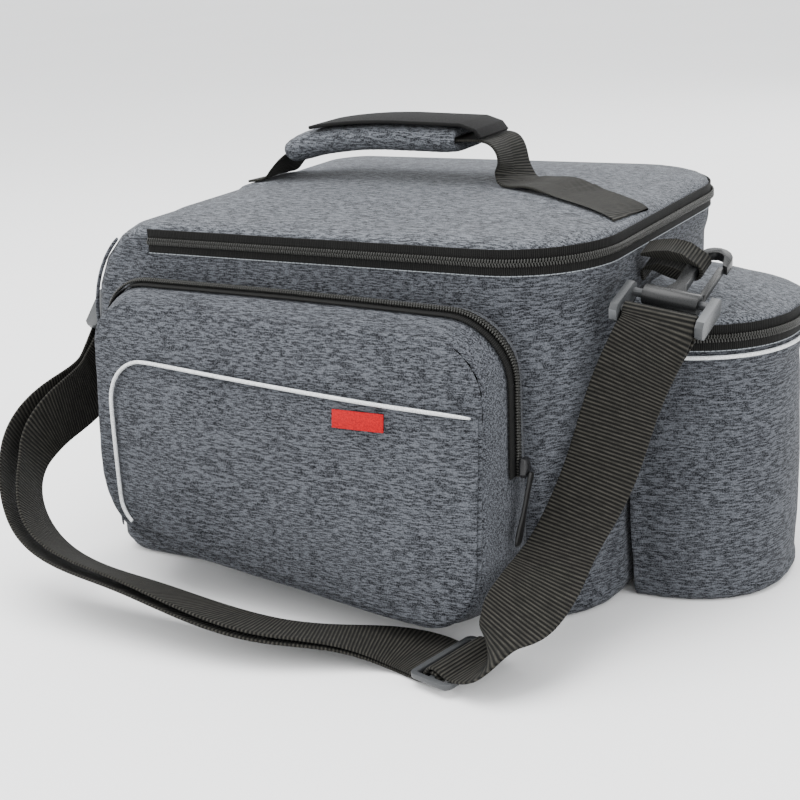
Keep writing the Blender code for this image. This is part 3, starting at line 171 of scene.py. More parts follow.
def stretched(finish, coordinates, scale):
    """Coordinates multiplied along each axis, which squeezes a pattern along it."""
    return add(finish, "ShaderNodeMapping", {"Vector": coordinates, "Scale": scale}).outputs["Vector"]


def grain(finish, vector, detail=2.0, low=0.35, high=0.65):
    """Noise between 0 and 1 with its middle range spread out."""
    made = add(finish, "ShaderNodeTexNoise",
               {"Vector": vector, "Scale": 1.0, "Detail": detail, "Roughness": 0.6})
    spread = add(finish, "ShaderNodeMapRange",
                 {"Value": made.outputs["Fac"], "From Min": low, "From Max": high})
    return spread.outputs["Result"]


def math_node(finish, operation, first, second=0.0):
    return add(finish, "ShaderNodeMath", {0: first, 1: second}, operation=operation).outputs["Value"]


def multiply_add(finish, value, factor, rest):
    """value times factor plus rest; each is a number or a socket."""
    node = add(finish, "ShaderNodeMath", {0: value, 1: factor, 2: rest}, operation="MULTIPLY_ADD")
    return node.outputs["Value"]


def blend_colour(finish, share, first, second):
    """A mix of two colours by a share between 0 and 1."""
    node = add(finish, "ShaderNodeMix", data_type="RGBA")
    for key, value in ((0, share), (6, first), (7, second)):
        if isinstance(value, bpy.types.NodeSocket):
            finish.node_tree.links.new(value, node.inputs[key])
        else:
            node.inputs[key].default_value = value if key == 0 else (*value, 1.0)
    return node.outputs[2]


def relief(finish, height, depth, strength=1.0):
    """Sends a height pattern to the shader's normal as bumps of a depth in metres."""
    bump = add(finish, "ShaderNodeBump", {"Height": height, "Distance": depth, "Strength": strength})
    into_shader(finish, "Normal", bump.outputs["Normal"])


# %% [markdown]
# The bag's cloth is heather: dark blue-grey yarn with lighter slubs that run level across each panel.
# A picture of cloth would need unwrapping. Noise squeezed along the axis that crosses the slubs gives
# the same short level flecks on any panel, and a finer even grain gives the yarns between them. The
# lid's cloth is turned, because on a level panel the slubs are crossed by Y and not by Z.

# %% Heather cloth
CLOTH_DARK = (0.0025, 0.0028, 0.0040)
CLOTH_LIGHT = (0.092, 0.098, 0.111)
SLUB_LENGTH = 5.0 * MM
SLUB_WIDTH = 0.85 * MM
YARN = 0.70 * MM
PATCH = 30.0 * MM


def heather(name, crossed_by, dark=CLOTH_DARK, light=CLOTH_LIGHT):
    """Heather cloth whose slubs are crossed by the axes marked 1."""
    finish = new_finish(name, dark, 0.88, Sheen_Weight=0.04, Sheen_Roughness=0.5, Specular_IOR_Level=0.10)
    place = add(finish, "ShaderNodeTexCoord").outputs["Object"]
    squeeze = [1.0 / (SLUB_WIDTH if crossed else SLUB_LENGTH) for crossed in crossed_by]
    slubs = grain(finish, stretched(finish, place, squeeze), 1.0, 0.44, 0.59)
    yarns = grain(finish, stretched(finish, place, [1.0 / YARN] * 3), 1.0, 0.42, 0.60)
    patches = grain(finish, stretched(finish, place, [1.0 / PATCH] * 3), 2.0, 0.25, 0.75)
    total = multiply_add(finish, slubs, 0.50, math_node(finish, "MULTIPLY", yarns, 0.40))
    total = multiply_add(finish, patches, 0.10, total)
    into_shader(finish, "Base Color", blend_colour(finish, total, dark, light))
    relief(finish, total, 0.25 * MM, 0.6)
    return finish


cloth_wall = heather("heather_wall", (False, False, True))
# The cloth on top is painted lighter than the walls' cloth, a painted top light; the bottle pocket's lid
# and the handle's wrap wear it too.
cloth_painted_top_light = heather("heather_lid_painted_top_light", (False, True, True), light=(0.135, 0.144, 0.160))
cloth_gusset = heather("heather_gusset", (False, True, True))

# %% [markdown]
# Webbing is woven in ribs that cross its run. The crown of each rib is painted lighter in its colour, a
# painted highlight where it catches light. The ribs follow the strap round every bend, so they can't come
# from the object's own axes. The strap's mesh carries a map in metres, across and along the run, and a sine
# of the distance along gives the ribs.

# %% Webbing, zip tape and binding
WEBBING_DARK = (0.0025, 0.0025, 0.0022)
WEBBING_CROWN_HIGHLIGHT = (0.040, 0.038, 0.032)


def ribbed(name, pitch, depth, dark, light, roughness=0.82):
    """A woven band with ribs across its run, read from the piece's own map in metres."""
    finish = new_finish(name, dark, roughness, Sheen_Weight=0.02, Specular_IOR_Level=0.10)
    run = add(finish, "ShaderNodeUVMap", uv_map="run").outputs["UV"]
    split = add(finish, "ShaderNodeSeparateXYZ", {"Vector": run})
    along = math_node(finish, "MULTIPLY", split.outputs["Y"], math.tau / pitch)
    ribs = multiply_add(finish, math_node(finish, "SINE", along), 0.5, 0.5)
    across = math_node(finish, "MULTIPLY", split.outputs["X"], math.tau / (1.1 * MM))
    height = multiply_add(finish, math_node(finish, "SINE", across), 0.12, ribs)
    # The crown of each rib is painted lighter, a painted highlight, and this grain makes that painted
    # highlight uneven along the band.
    highlight_tone = grain(finish, stretched(finish, run, (1.0 / (7.0 * MM), 1.0 / (1.2 * MM), 1.0)), 2.0)
    crown_highlight = math_node(finish, "MULTIPLY", math_node(finish, "POWER", ribs, 1.6),
                       multiply_add(finish, highlight_tone, 0.5, 0.5))
    into_shader(finish, "Base Color", blend_colour(finish, crown_highlight, dark, light))
    relief(finish, height, depth)
    return finish


# Each band's second colour is the painted highlight on the crown of its ribs.
webbing = ribbed("webbing", 2.0 * MM, 0.35 * MM, WEBBING_DARK, WEBBING_CROWN_HIGHLIGHT)
handle_band = ribbed("handle_band", 1.5 * MM, 0.25 * MM, WEBBING_DARK, (0.034, 0.033, 0.028))
zip_band = ribbed("zip_band", 1.1 * MM, 0.12 * MM, (0.002, 0.002, 0.002), (0.012, 0.012, 0.011))


def plain_weave(name, colour, roughness=0.8, **sockets):
    """A fine tight cloth of one colour, for bindings, tags and covered cords."""
    finish = new_finish(name, colour, roughness, **sockets)
    place = add(finish, "ShaderNodeTexCoord").outputs["Object"]
    yarns = grain(finish, stretched(finish, place, [1.0 / (0.6 * MM)] * 3), 1.0)
    darker = tuple(c * 0.55 for c in colour)
    into_shader(finish, "Base Color", blend_colour(finish, yarns, darker, colour))
    relief(finish, yarns, 0.15 * MM, 0.6)
    return finish


binding = plain_weave("dark_binding", (0.0075, 0.0075, 0.0075), Specular_IOR_Level=0.10)
red_tag = plain_weave("red_tag", (0.38, 0.0008, 0.004), 0.6, Specular_IOR_Level=0.15)
silver = plain_weave("silver_piping", (0.66, 0.68, 0.69), 0.38, Metallic=0.15, Coat_Weight=0.15)
thread = plain_weave("light_thread", (0.24, 0.26, 0.28), 0.7)

# %% [markdown]
# The fittings are moulded nylon: near black, with a fine spark-eroded grain. Their corners are painted
# paler, a painted highlight, and the share of painted highlight comes from how sharply the mesh turns.

# %% Moulded plastic and metal


def moulded(name, colour, highlight_tone, roughness):
    finish = new_finish(name, colour, roughness, Specular_IOR_Level=0.3)
    place = add(finish, "ShaderNodeTexCoord").outputs["Object"]
    pits = grain(finish, stretched(finish, place, [1.0 / (0.45 * MM)] * 3), 2.0)
    # Sharp corners are painted towards the highlight tone, a painted highlight, by how sharply the mesh
    # turns.
    turn = add(finish, "ShaderNodeNewGeometry").outputs["Pointiness"]
    edge = add(finish, "ShaderNodeMapRange", {"Value": turn, "From Min": 0.56, "From Max": 0.72})
    into_shader(finish, "Base Color", blend_colour(finish, edge.outputs["Result"], colour, highlight_tone))
    rough = add(finish, "ShaderNodeMapRange",
                {"Value": pits, "To Min": roughness - 0.05, "To Max": roughness + 0.10})
    into_shader(finish, "Roughness", rough.outputs["Result"])
    relief(finish, pits, 0.04 * MM, 0.5)
    return finish


hook_plastic = moulded("hook_plastic", (0.0065, 0.0068, 0.0070), (0.050, 0.051, 0.053), 0.30)
frame_plastic = moulded("frame_plastic", (0.040, 0.042, 0.044), (0.13, 0.135, 0.14), 0.32)
pull_plastic = moulded("pull_plastic", (0.005, 0.005, 0.005), (0.018, 0.018, 0.018), 0.45)
teeth_plastic = moulded("teeth_plastic", (0.006, 0.006, 0.0055), (0.050, 0.050, 0.045), 0.28)
slider_metal = moulded("slider_metal", (0.010, 0.010, 0.011), (0.06, 0.06, 0.06), 0.30)

floor_finish = new_finish("pale_floor", (0.86, 0.86, 0.86), 0.75)
floor_grain = grain(floor_finish, add(floor_finish, "ShaderNodeTexCoord").outputs["Object"], 2.0)
floor_colour = blend_colour(floor_finish, floor_grain, (0.85, 0.85, 0.85), (0.87, 0.87, 0.87))
into_shader(floor_finish, "Base Color", floor_colour)
floor.data.materials.append(floor_finish)

# %% [markdown]
# The same few steps start and end every piece: a merged copy of a node, its modifiers applied, and the
# finished piece put on the body that carries it.

# %% Helpers for pieces


def apply_modifiers(piece):
    activate(piece)
    for modifier in list(piece.modifiers):
        bpy.ops.object.modifier_apply(modifier=modifier.name)


def merged_copy(node, name):
    """A copy of a node's mesh with its loose triangles joined, as a new object."""
    piece = bpy.data.objects.new(name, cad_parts[node].data.copy())
    piece.data.name = name
    piece.data.materials.clear()
    scene.collection.objects.link(piece)
    activate(piece)
    bpy.ops.mesh.customdata_custom_splitnormals_clear()
    bpy.ops.object.mode_set(mode="EDIT")
    bpy.ops.mesh.select_all(action="SELECT")
    bpy.ops.mesh.remove_doubles(threshold=0.02 * MM)
    bpy.ops.object.mode_set(mode="OBJECT")
    return piece


def smooth(piece, degrees=40.0):
    activate(piece)
    bpy.ops.object.shade_smooth_by_angle(angle=math.radians(degrees))


def put_on(piece, finish, slot, *nodes, body="bag"):
    """Gives a piece its finish and body, and hides the nodes it stands for."""
    piece.data.materials.clear()
    piece.data.materials.append(finish)
    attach(piece, body)
    if nodes:
        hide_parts(*nodes)
    print(piece.name, len(piece.data.polygons), "faces")
    return piece


def new_piece(name, points, faces):
    mesh = bpy.data.meshes.new(name)
    mesh.from_pydata([tuple(p) for p in points], [], faces)
    piece = bpy.data.objects.new(name, mesh)
    scene.collection.objects.link(piece)
    return piece


# %% [markdown]
# A padded panel could be sculpted, but cloth simulation gives its fullness for less work. The outside
# of the node is closed into one skin, remeshed evenly, pulled in a little, and then blown up against
# seams that are held. No point may move further than a set reach. Long soft dents are then pressed in,
# because a padded wall is never quite even. Last, the places where zips, piping and straps lie are put
# back on the node's own surface, because remeshing rounds its corners off.

# %% Stuffing
STUFFING_FRAMES = 20
STUFFING_PRESSURE = 4.0
SEATED_WITHIN = 1.5 * MM
SEAT_START, SEAT_REACH = 1.0 * MM, 8.0 * MM


def fade(distance, width):
    """1 at no distance, and 0 from a width on."""
    share = min(max(1.0 - distance / width, 0.0), 1.0)
    return share * share * (3.0 - 2.0 * share)


def tree_of(thing):
    """A quick way to ask for the nearest point of an object's surface."""
    mesh = thing.data
    return BVHTree.FromPolygons([v.co for v in mesh.vertices], [list(p.vertices) for p in mesh.polygons])


def outer_skin(piece, inside):
    """Keeps the faces that look away from a point inside and closes the hole; gives the skin's tree."""
    mesh = bmesh.new()
    mesh.from_mesh(piece.data)
    inward = [f for f in mesh.faces if (f.calc_center_median() - inside).dot(f.normal) <= 0.0]
    bmesh.ops.delete(mesh, geom=inward, context="FACES")
    rim = [e for e in mesh.edges if e.is_boundary]
    bmesh.ops.holes_fill(mesh, edges=rim, sides=0)
    bmesh.ops.recalc_face_normals(mesh, faces=mesh.faces)
    mesh.to_mesh(piece.data)
    mesh.free()
    return tree_of(piece)


def evenly_meshed(piece, voxel):
    remesh = piece.modifiers.new("even", "REMESH")
    remesh.mode = "VOXEL"
    remesh.voxel_size = voxel
    apply_modifiers(piece)


def seated_by(width, *nodes):
    """A function of a point: 1 where one of the nodes lies, and 0 a width away from all of them."""
    trees = [tree_of(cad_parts[node]) for node in nodes]
    return lambda point: max(fade(tree.find_nearest(point)[3] - SEATED_WITHIN, width) for tree in trees)


def seat(piece, skin, held):
    """Puts the held places back on the skin, out along their normals."""
    vertices = piece.data.vertices
    places = [(v.co.copy(), v.normal.copy()) for v in vertices]
    seated = []
    for place, normal in places:
        grip = held(place)
        if grip > 0.0:
            outward_hit = skin.ray_cast(place - normal * SEAT_START, normal, SEAT_REACH)[0]
            place = place.lerp(outward_hit or skin.find_nearest(place)[0], grip)
        seated.append(place)
    vertices.foreach_set("co", np.array(seated).ravel())
    piece.data.update()


def stuff(piece, held, pull_in, reach):
    """Blows a skin up from a slightly smaller shape. held(point) is 1 on a seam and 0 away from it."""
    vertices = piece.data.vertices
    grip = np.array([held(v.co) for v in vertices])
    start = np.array([v.co - v.normal * pull_in * (1.0 - g) for v, g in zip(vertices, grip)])
    vertices.foreach_set("co", start.ravel())
    pins = piece.vertex_groups.new(name="seams")
    for i, g in enumerate(grip):
        if g > 0.0:
            pins.add([i], float(g), "REPLACE")
    cloth = piece.modifiers.new("stuffing", "CLOTH")
    cloth.settings.quality = 4
    cloth.settings.use_pressure = True
    cloth.settings.uniform_pressure_force = STUFFING_PRESSURE
    cloth.settings.effector_weights.gravity = 0.0
    cloth.settings.vertex_group_mass = "seams"
    cloth.point_cache.frame_end = STUFFING_FRAMES
    for number in range(1, STUFFING_FRAMES + 1):
        scene.frame_set(number)
    blown = np.zeros(len(vertices) * 3)
    piece.evaluated_get(bpy.context.evaluated_depsgraph_get()).data.vertices.foreach_get("co", blown)
    piece.modifiers.clear()
    scene.frame_set(1)
    moved = blown.reshape(-1, 3) - start
    length = np.linalg.norm(moved, axis=1)
    moved *= np.minimum(1.0, reach / np.maximum(length, 1e-9))[:, None]
    vertices.foreach_set("co", (start + moved).ravel())
    piece.data.update()
    print(piece.name, "swelled", round(float(length.mean()) / MM, 2), "mm")


def press_dents(piece, depth, size, held, stretch, seed):
    """Presses soft dents inward, deepest away from the seams."""
    offset = Vector((seed, seed * 1.7, -seed))
    vertices = piece.data.vertices
    pressed = []
    for co, normal in [(v.co.copy(), v.normal.copy()) for v in vertices]:
        place = Vector((co.x * stretch[0], co.y * stretch[1], co.z * stretch[2])) / size + offset
        dent = 0.5 + 0.5 * noise.noise(place) + 0.25 * noise.noise(place * 2.3)
        pressed.append(co - normal * depth * max(dent, 0.0) * (1.0 - held(co)))
    vertices.foreach_set("co", np.array(pressed).ravel())
    piece.data.update()


def finer(piece, levels=1):
    subdivision = piece.modifiers.new("finer", "SUBSURF")
    subdivision.levels = subdivision.render_levels = levels
    apply_modifiers(piece)


def padded_panel(node, name, finish, inside, held, voxel, pull_in, reach, dents):
    """All the steps of one stuffed panel. dents holds a depth, a size, a stretch and a seed."""
    piece = merged_copy(node, name)
    skin = outer_skin(piece, inside)
    evenly_meshed(piece, voxel)
    stuff(piece, held, pull_in, reach)
    depth, size, stretch, seed = dents
    press_dents(piece, depth, size, held, stretch, seed)
    finer(piece)
    seat(piece, skin, held)
    smooth(piece, 60.0)
    put_on(piece, finish, "fabric", node)
    return piece


# %% [markdown]
# The main compartment is the biggest panel, so it sets the look. It is held along the zip above, round
# its flat base, up its two left corner seams and where the pockets and loops are sewn on, and it is
# full between them.

# %% Main compartment
shell_low, shell_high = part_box("main_shell")
shell_seats = seated_by(16.0 * MM, "main_zip_tape", "corner_piping_front", "corner_piping_back",
                        "pocket_gusset", "bottle_shell", "tab_right", "tab_left")


def shell_held(point):
    near_base = fade(point.z - shell_low.z, 14.0 * MM)
    near_lid = fade(shell_high.z - point.z, 12.0 * MM)
    return max(shell_seats(point), near_base, near_lid)


padded_panel("main_shell", "compartment", cloth_wall, (shell_low + shell_high) / 2.0, shell_held,
             5.0 * MM, 2.2 * MM, 2.4 * MM, (1.1 * MM, 55.0 * MM, (1.0, 1.0, 1.6), 3.0))

# %% Lid
lid_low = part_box("main_lid")[0]
lid_seats = seated_by(10.0 * MM, "main_zip_tape", "handle_webbing")
BELOW = Vector((0.0, 0.0, -1.0))
EVEN = (1.0, 1.0, 1.0)


def lid_held(point):
    return max(lid_seats(point), fade(point.z - lid_low.z - 8.0 * MM, 5.0 * MM))


lid = padded_panel("main_lid", "lid", cloth_painted_top_light, BELOW, lid_held,
                   4.5 * MM, 1.0 * MM, 1.8 * MM, (0.9 * MM, 60.0 * MM, EVEN, 8.0))
lid_top = tree_of(lid)

# %% [markdown]
# The bottle pocket is a padded half round that leans on the bag's end. Its wall and its domed lid are
# stuffed in the same way, held at the zip, the base and where they meet the bag.

# %% Bottle pocket
bottle_low, bottle_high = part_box("bottle_shell")
bottle_middle = (bottle_low + bottle_high) / 2.0
bottle_seats = seated_by(10.0 * MM, "bottle_zip_tape", "bottle_piping", "main_shell")


def bottle_held(point):
    return max(bottle_seats(point), fade(point.z - bottle_low.z, 12.0 * MM))


padded_panel("bottle_shell", "bottle_pocket", cloth_wall, bottle_middle, bottle_held,
             4.0 * MM, 1.6 * MM, 2.2 * MM, (1.2 * MM, 42.0 * MM, (1.0, 1.0, 1.4), 5.0))

cap_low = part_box("bottle_lid")[0]
cap_seats = seated_by(8.0 * MM, "bottle_zip_tape", "main_shell")


def cap_held(point):
    return max(cap_seats(point), fade(point.z - cap_low.z - 7.0 * MM, 5.0 * MM))


padded_panel("bottle_lid", "bottle_pocket_lid", cloth_painted_top_light, bottle_middle + BELOW, cap_held,
             3.5 * MM, 0.8 * MM, 1.6 * MM, (0.8 * MM, 30.0 * MM, EVEN, 2.0))

# %% [markdown]
# The front pocket is unpadded cloth with a puffed face: a side wall sewn between the bag and the face,
# and a second layer laid on the lower part of the face. Its solids are thin sheets already, so each is
# subdivided smoothly instead of being remeshed, which would lose it, and the face's two layers get shallow
# folds.

# %% Front pocket
FOLD_DEPTH = 1.0 * MM
FOLD_SIZE = 45.0 * MM
FOLD_OFFSET = Vector((4.0, -4.0, 2.4))

for node, name, finish, levels, depth in (
        ("pocket_gusset", "pocket_wall", cloth_gusset, 1, 0.0),
        ("pocket_front", "pocket_face", cloth_wall, 2, FOLD_DEPTH),
        ("pocket_overlay", "pocket_lower_face", cloth_wall, 2, FOLD_DEPTH)):
    piece = merged_copy(node, name)
    finer(piece, levels)
    for v in piece.data.vertices:
        v.co.y += depth * noise.noise(v.co / FOLD_SIZE + FOLD_OFFSET)
    smooth(piece, 60.0)
    put_on(piece, finish, "fabric", node)

# %% [markdown]
# Straps, zip tapes and coils are long solids with a four-cornered section. To dress them, their
# sections are read back from the frame: an end is where the two short edges of the section stand at a
# right angle to the end face, and each step along the mesh from there is the next section.

# %% Sections of a long piece


def end_edges(mesh, thickness):
    """The short edges of the section at the two ends."""
    found = []
    for edge in mesh.edges:
        if abs(edge.calc_length() - thickness) < 0.12 * thickness and edge.calc_face_angle(0.0) > 1.0:
            found.append(edge)
    return found


def in_step(section, before):
    """The order of a section's corners that best continues the section before."""
    middle, last = np.mean(section, axis=0), np.mean(before, axis=0)

    def turn(order):
        return sum(np.linalg.norm(section[i] - middle - b + last) for i, b in zip(order, before))

    return [section[i] for i in min(itertools.permutations(range(4)), key=turn)]


def edge_middle(edge):
    return sum((v.co for v in edge.verts), Vector()) / 2.0


def sections_of(node, thickness):
    """The sections of a long node in order, each of four corners: across, then up, then back."""
    mesh = bmesh.new()
    mesh.from_mesh(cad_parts[node].data)
    bmesh.ops.remove_doubles(mesh, verts=mesh.verts, dist=0.02 * MM)
    first, *others = end_edges(mesh, thickness)
    here = edge_middle(first)
    partner = min(others, key=lambda e: (edge_middle(e) - here).length)
    a, d = first.verts
    c, b = partner.verts
    if (b.co - a.co).length > (c.co - a.co).length:
        b, c = c, b
    rings, seen, layer = [[a, b, c, d]], {a, b, c, d}, [a, b, c, d]
    while layer:
        layer = sorted({e.other_vert(v) for v in layer for e in v.link_edges} - seen, key=lambda v: v.index)
        seen.update(layer)
        if layer:
            rings.append(layer)
    sections = [[np.array(v.co) for v in rings[0]]]
    for ring in rings[1:]:
        if len(ring) != 4:
            raise ValueError(f"{node} has a section of {len(ring)} corners")
        sections.append(in_step([np.array(v.co) for v in ring], sections[-1]))
    mesh.free()
    return np.array(sections)


def split_long(sections, longest):
    """More sections on the steps that are longer than a length, which keeps straights straight."""
    made = [sections[0]]
    for before, after in zip(sections, sections[1:]):
        length = np.linalg.norm(after.mean(axis=0) - before.mean(axis=0))
        count = max(int(math.ceil(length / longest)), 1)
        made += [before + (after - before) * (k + 1) / count for k in range(count)]
    return np.array(made)


def smoothed(sections, parts, longest=1.0):
    """More sections between the given ones, on a natural cubic curve through each corner."""
    rows = split_long(sections, longest).reshape(-1, 12)
    chord = np.maximum(np.linalg.norm(np.diff(rows, axis=0), axis=1), 1e-6)
    size = len(rows)
    system, right = np.eye(size), np.zeros_like(rows)
    for i in range(1, size - 1):
        before, after = chord[i - 1], chord[i]
        system[i, i - 1:i + 2] = before, 2.0 * (before + after), after
        right[i] = 6.0 * ((rows[i + 1] - rows[i]) / after - (rows[i] - rows[i - 1]) / before)
    bend = np.linalg.solve(system, right)
    made = []
    for i in range(size - 1):
        for step in range(parts):
            b = step / parts
            a = 1.0 - b
            curved = ((a ** 3 - a) * bend[i] + (b ** 3 - b) * bend[i + 1]) * chord[i] ** 2 / 6.0
            made.append(a * rows[i] + b * rows[i + 1] + curved)
    made.append(rows[-1])
    return np.array(made).reshape(-1, 4, 3)


# %% [markdown]
# A woven band is flat with a slightly thicker edge. Each section of the solid becomes an outline of
# eighteen points with a rounded edge, and the map that the ribs follow is written as it is built.

# %% Bands
BAND_OUTLINE = ((-1.0, -0.35), (-0.985, -0.8), (-0.95, -1.0), (-0.88, -0.9), (0.0, -0.88), (0.88, -0.9),
                (0.95, -1.0), (0.985, -0.8), (1.0, -0.35), (1.0, 0.35), (0.985, 0.8), (0.95, 1.0),
                (0.88, 0.9), (0.0, 0.88), (-0.88, 0.9), (-0.95, 1.0), (-0.985, 0.8), (-1.0, 0.35))


def band(name, sections):
    """A flat woven band through sections, with a map in metres named run."""
    outline = np.array(BAND_OUTLINE)
    s, t = (outline[:, 0] + 1.0) / 2.0, (outline[:, 1] + 1.0) / 2.0
    weights = np.stack([(1 - s) * (1 - t), s * (1 - t), s * t, (1 - s) * t], axis=1)
    points = np.einsum("kc,ncx->nkx", weights, sections)
    middle = sections.mean(axis=1)
    along = np.concatenate([[0.0], np.cumsum(np.linalg.norm(np.diff(middle, axis=0), axis=1))])
    width = np.linalg.norm(sections[:, 1] - sections[:, 0], axis=1).mean()
    count, around = len(sections), len(outline)
    faces, places = [], []
    for n in range(count - 1):
        for k in range(around):
            j = (k + 1) % around
            faces.append((n * around + k, n * around + j, (n + 1) * around + j, (n + 1) * around + k))
            for ring, corner in ((n, k), (n, j), (n + 1, j), (n + 1, k)):
                places.append((outline[corner, 0] * width / 2.0, along[ring]))
    for ring, order in ((0, range(around)), (count - 1, range(around))):
        faces.append([ring * around + k for k in order])
        places += [(outline[k, 0] * width / 2.0, along[ring]) for k in order]
    piece = new_piece(name, points.reshape(-1, 3), faces)
    layer = piece.data.uv_layers.new(name="run")
    layer.data.foreach_set("uv", np.array(places, dtype=np.float32).ravel())
    activate(piece)
    bpy.ops.object.mode_set(mode="EDIT")
    bpy.ops.mesh.select_all(action="SELECT")
    bpy.ops.mesh.normals_make_consistent(inside=False)
    bpy.ops.object.mode_set(mode="OBJECT")
    smooth(piece, 50.0)
    return piece, along[-1]


TAPE_THICKNESS = 0.8 * MM
COIL_THICKNESS = 1.6 * MM
ZIP_STEP = 10.0 * MM
lengths, tapes = {}, {}
for prefix in ("main", "pocket", "bottle"):
    node = prefix + "_zip_tape"
    tapes[prefix] = smoothed(sections_of(node, TAPE_THICKNESS), 3, ZIP_STEP)
    piece, lengths[node] = band(node + "_woven", tapes[prefix])
    put_on(piece, zip_band, "zip_tape", node)

# %% [markdown]
# The handle's webbing is sewn down at both ends, so it has to lie on the stuffed lid and not on the
# plain solid. Each corner near the lid is dropped on the cloth straight below it. The right end is
# cut in line with the lid's rim, where the zip covers it, so the front edge runs further than the rear.

# %% Straps and handle webbing
WEBBING_THICKNESS = 1.6 * MM
WEBBING_PARTS = 4
FRONT_EDGE_LONGER = 11.0 * MM
REAR_EDGE_SHORTER = 2.0 * MM
LAID_GAP = 0.2 * MM
LAID_WITHIN = 5.0 * MM
LOOK_DOWN_FROM = 0.05


def squared_to_rim(sections):
    """Cuts the right end of the webbing in line with the lid's rim."""
    end, inner = (0, 1) if sections[0, 0, 0] > sections[-1, 0, 0] else (-1, -2)
    run = sections[end].mean(axis=0) - sections[inner].mean(axis=0)
    run /= np.linalg.norm(run)
    front = sections[end][:, 1] < sections[end][:, 1].mean()
    sections[end][front] += run * FRONT_EDGE_LONGER
    sections[end][~front] -= run * REAR_EDGE_SHORTER
    return sections


def laid_on_lid(sections):
    """Lays the webbing on the lid where it is near it, both edges on the cloth."""
    for section in sections:
        order = np.argsort(section[:, 2])
        for rank, corner in enumerate(order):
            x, y, z = section[corner]
            hit = lid_top.ray_cast(Vector((x, y, z + LOOK_DOWN_FROM)), BELOW)[0]
            if hit is not None:
                rest = hit.z + LAID_GAP + (WEBBING_THICKNESS if rank > 1 else 0.0)
                section[corner, 2] += (rest - z) * fade(z - rest, LAID_WITHIN)
    return sections


for node, finish in (("shoulder_strap", webbing), ("handle_webbing", handle_band),
                     ("tab_right", handle_band), ("tab_left", handle_band)):
    sections = sections_of(node, WEBBING_THICKNESS)
    if node == "handle_webbing":
        sections = laid_on_lid(smoothed(squared_to_rim(sections), WEBBING_PARTS))
    else:
        sections = smoothed(sections, WEBBING_PARTS)
    piece, lengths[node] = band(node + "_woven", sections)
    put_on(piece, finish, "webbing", node)
print({node: round(length, 3) for node, length in lengths.items()})

# %% [markdown]
# A closed coil zip shows two rows of loops that mesh along its middle. One tooth is modelled from a
# block with bevelled edges, and copied along each side of the coil, the two sides half a step apart.

# %% Zip teeth
TOOTH_PITCH = 1.55 * MM
TOOTH_SIZE = (0.95 * MM, 2.35 * MM, 1.5 * MM)


def small_shape(name, size, bevel, segments):
    """A block with rounded edges at the origin, as points and faces to copy."""
    deselect()
    bpy.ops.mesh.primitive_cube_add(size=1.0)
    shape = bpy.context.object
    shape.name = name
    bpy.ops.object.mode_set(mode="EDIT")
    bpy.ops.transform.resize(value=size)
    bpy.ops.mesh.bevel(offset=bevel, segments=segments, affect="EDGES")
    bpy.ops.object.mode_set(mode="OBJECT")
    points = np.array([v.co for v in shape.data.vertices])
    faces = [list(p.vertices) for p in shape.data.polygons]
    bpy.data.objects.remove(shape, do_unlink=True)
    return points, faces


def copies(name, shape, places):
    """One piece of many copies of a small shape, each put in place by a 3 by 4 matrix."""
    points, faces = shape
    made = np.concatenate([points @ np.array(m)[:3, :3].T + np.array(m)[:3, 3] for m in places])
    step = len(points)
    return new_piece(name, made, [[i + n * step for i in f] for n in range(len(places)) for f in faces])


def stations(sections, pitch, start=0.5):
    """Evenly spaced (middle, run, across, up) along sections."""
    middle = sections.mean(axis=1)
    along = np.concatenate([[0.0], np.cumsum(np.linalg.norm(np.diff(middle, axis=0), axis=1))])
    found = []
    for at in np.arange(start * pitch, along[-1], pitch):
        i = min(int(np.searchsorted(along, at, side="right")) - 1, len(middle) - 2)
        share = (at - along[i]) / (along[i + 1] - along[i])
        corners = sections[i] * (1 - share) + sections[i + 1] * share
        run = Vector(middle[i + 1] - middle[i]).normalized()
        across = Vector(corners[1] - corners[0])
        across = (across - run * across.dot(run)).normalized()
        found.append((Vector(corners.mean(axis=0)), run, across, run.cross(across)))
    return found


def basis(middle, run, across, up):
    return Matrix.Translation(middle) @ Matrix((run, across, up)).transposed().to_4x4()


tooth = small_shape("tooth", TOOTH_SIZE, 0.35 * MM, 1)
for prefix in ("main", "pocket", "bottle"):
    coil = smoothed(sections_of(prefix + "_zip_coil", COIL_THICKNESS), 3, ZIP_STEP)
    places = []
    for side in (-1.0, 1.0):
        for middle, run, across, up in stations(coil, TOOTH_PITCH, 0.5 + 0.25 * side):
            tilt = Matrix.Rotation(0.22 * side, 4, "Z")
            shift = Matrix.Translation((0.0, side * 0.95 * MM, 0.0))
            places.append(basis(middle, run, across, up) @ shift @ tilt)
    teeth = copies(prefix + "_zip_teeth", tooth, places)
    smooth(teeth, 50.0)
    put_on(teeth, teeth_plastic, "zip_coil", prefix + "_zip_coil")

# %% [markdown]
# Pulls, sliders, hooks and the strap's slider are moulded parts whose solids are right but sharp. A
# small bevel on a merged copy rounds their edges, so that they catch the light as moulded parts do.

# %% Moulded fittings
SHARP_EDGE = 32.0


def rounded_copy(node, name, width, segments=2):
    """A merged copy whose sharp edges have a small round of a width."""
    piece = merged_copy(node, name)
    activate(piece)
    bpy.ops.object.mode_set(mode="EDIT")
    bpy.ops.mesh.select_all(action="SELECT")
    bpy.ops.mesh.dissolve_limited(angle_limit=math.radians(1.0))
    bpy.ops.object.mode_set(mode="OBJECT")
    bevel = piece.modifiers.new("rounded", "BEVEL")
    bevel.width = width
    bevel.segments = segments
    bevel.limit_method = "ANGLE"
    bevel.angle_limit = math.radians(SHARP_EDGE)
    bevel.use_clamp_overlap = True
    apply_modifiers(piece)
    smooth(piece, 35.0)
    return piece


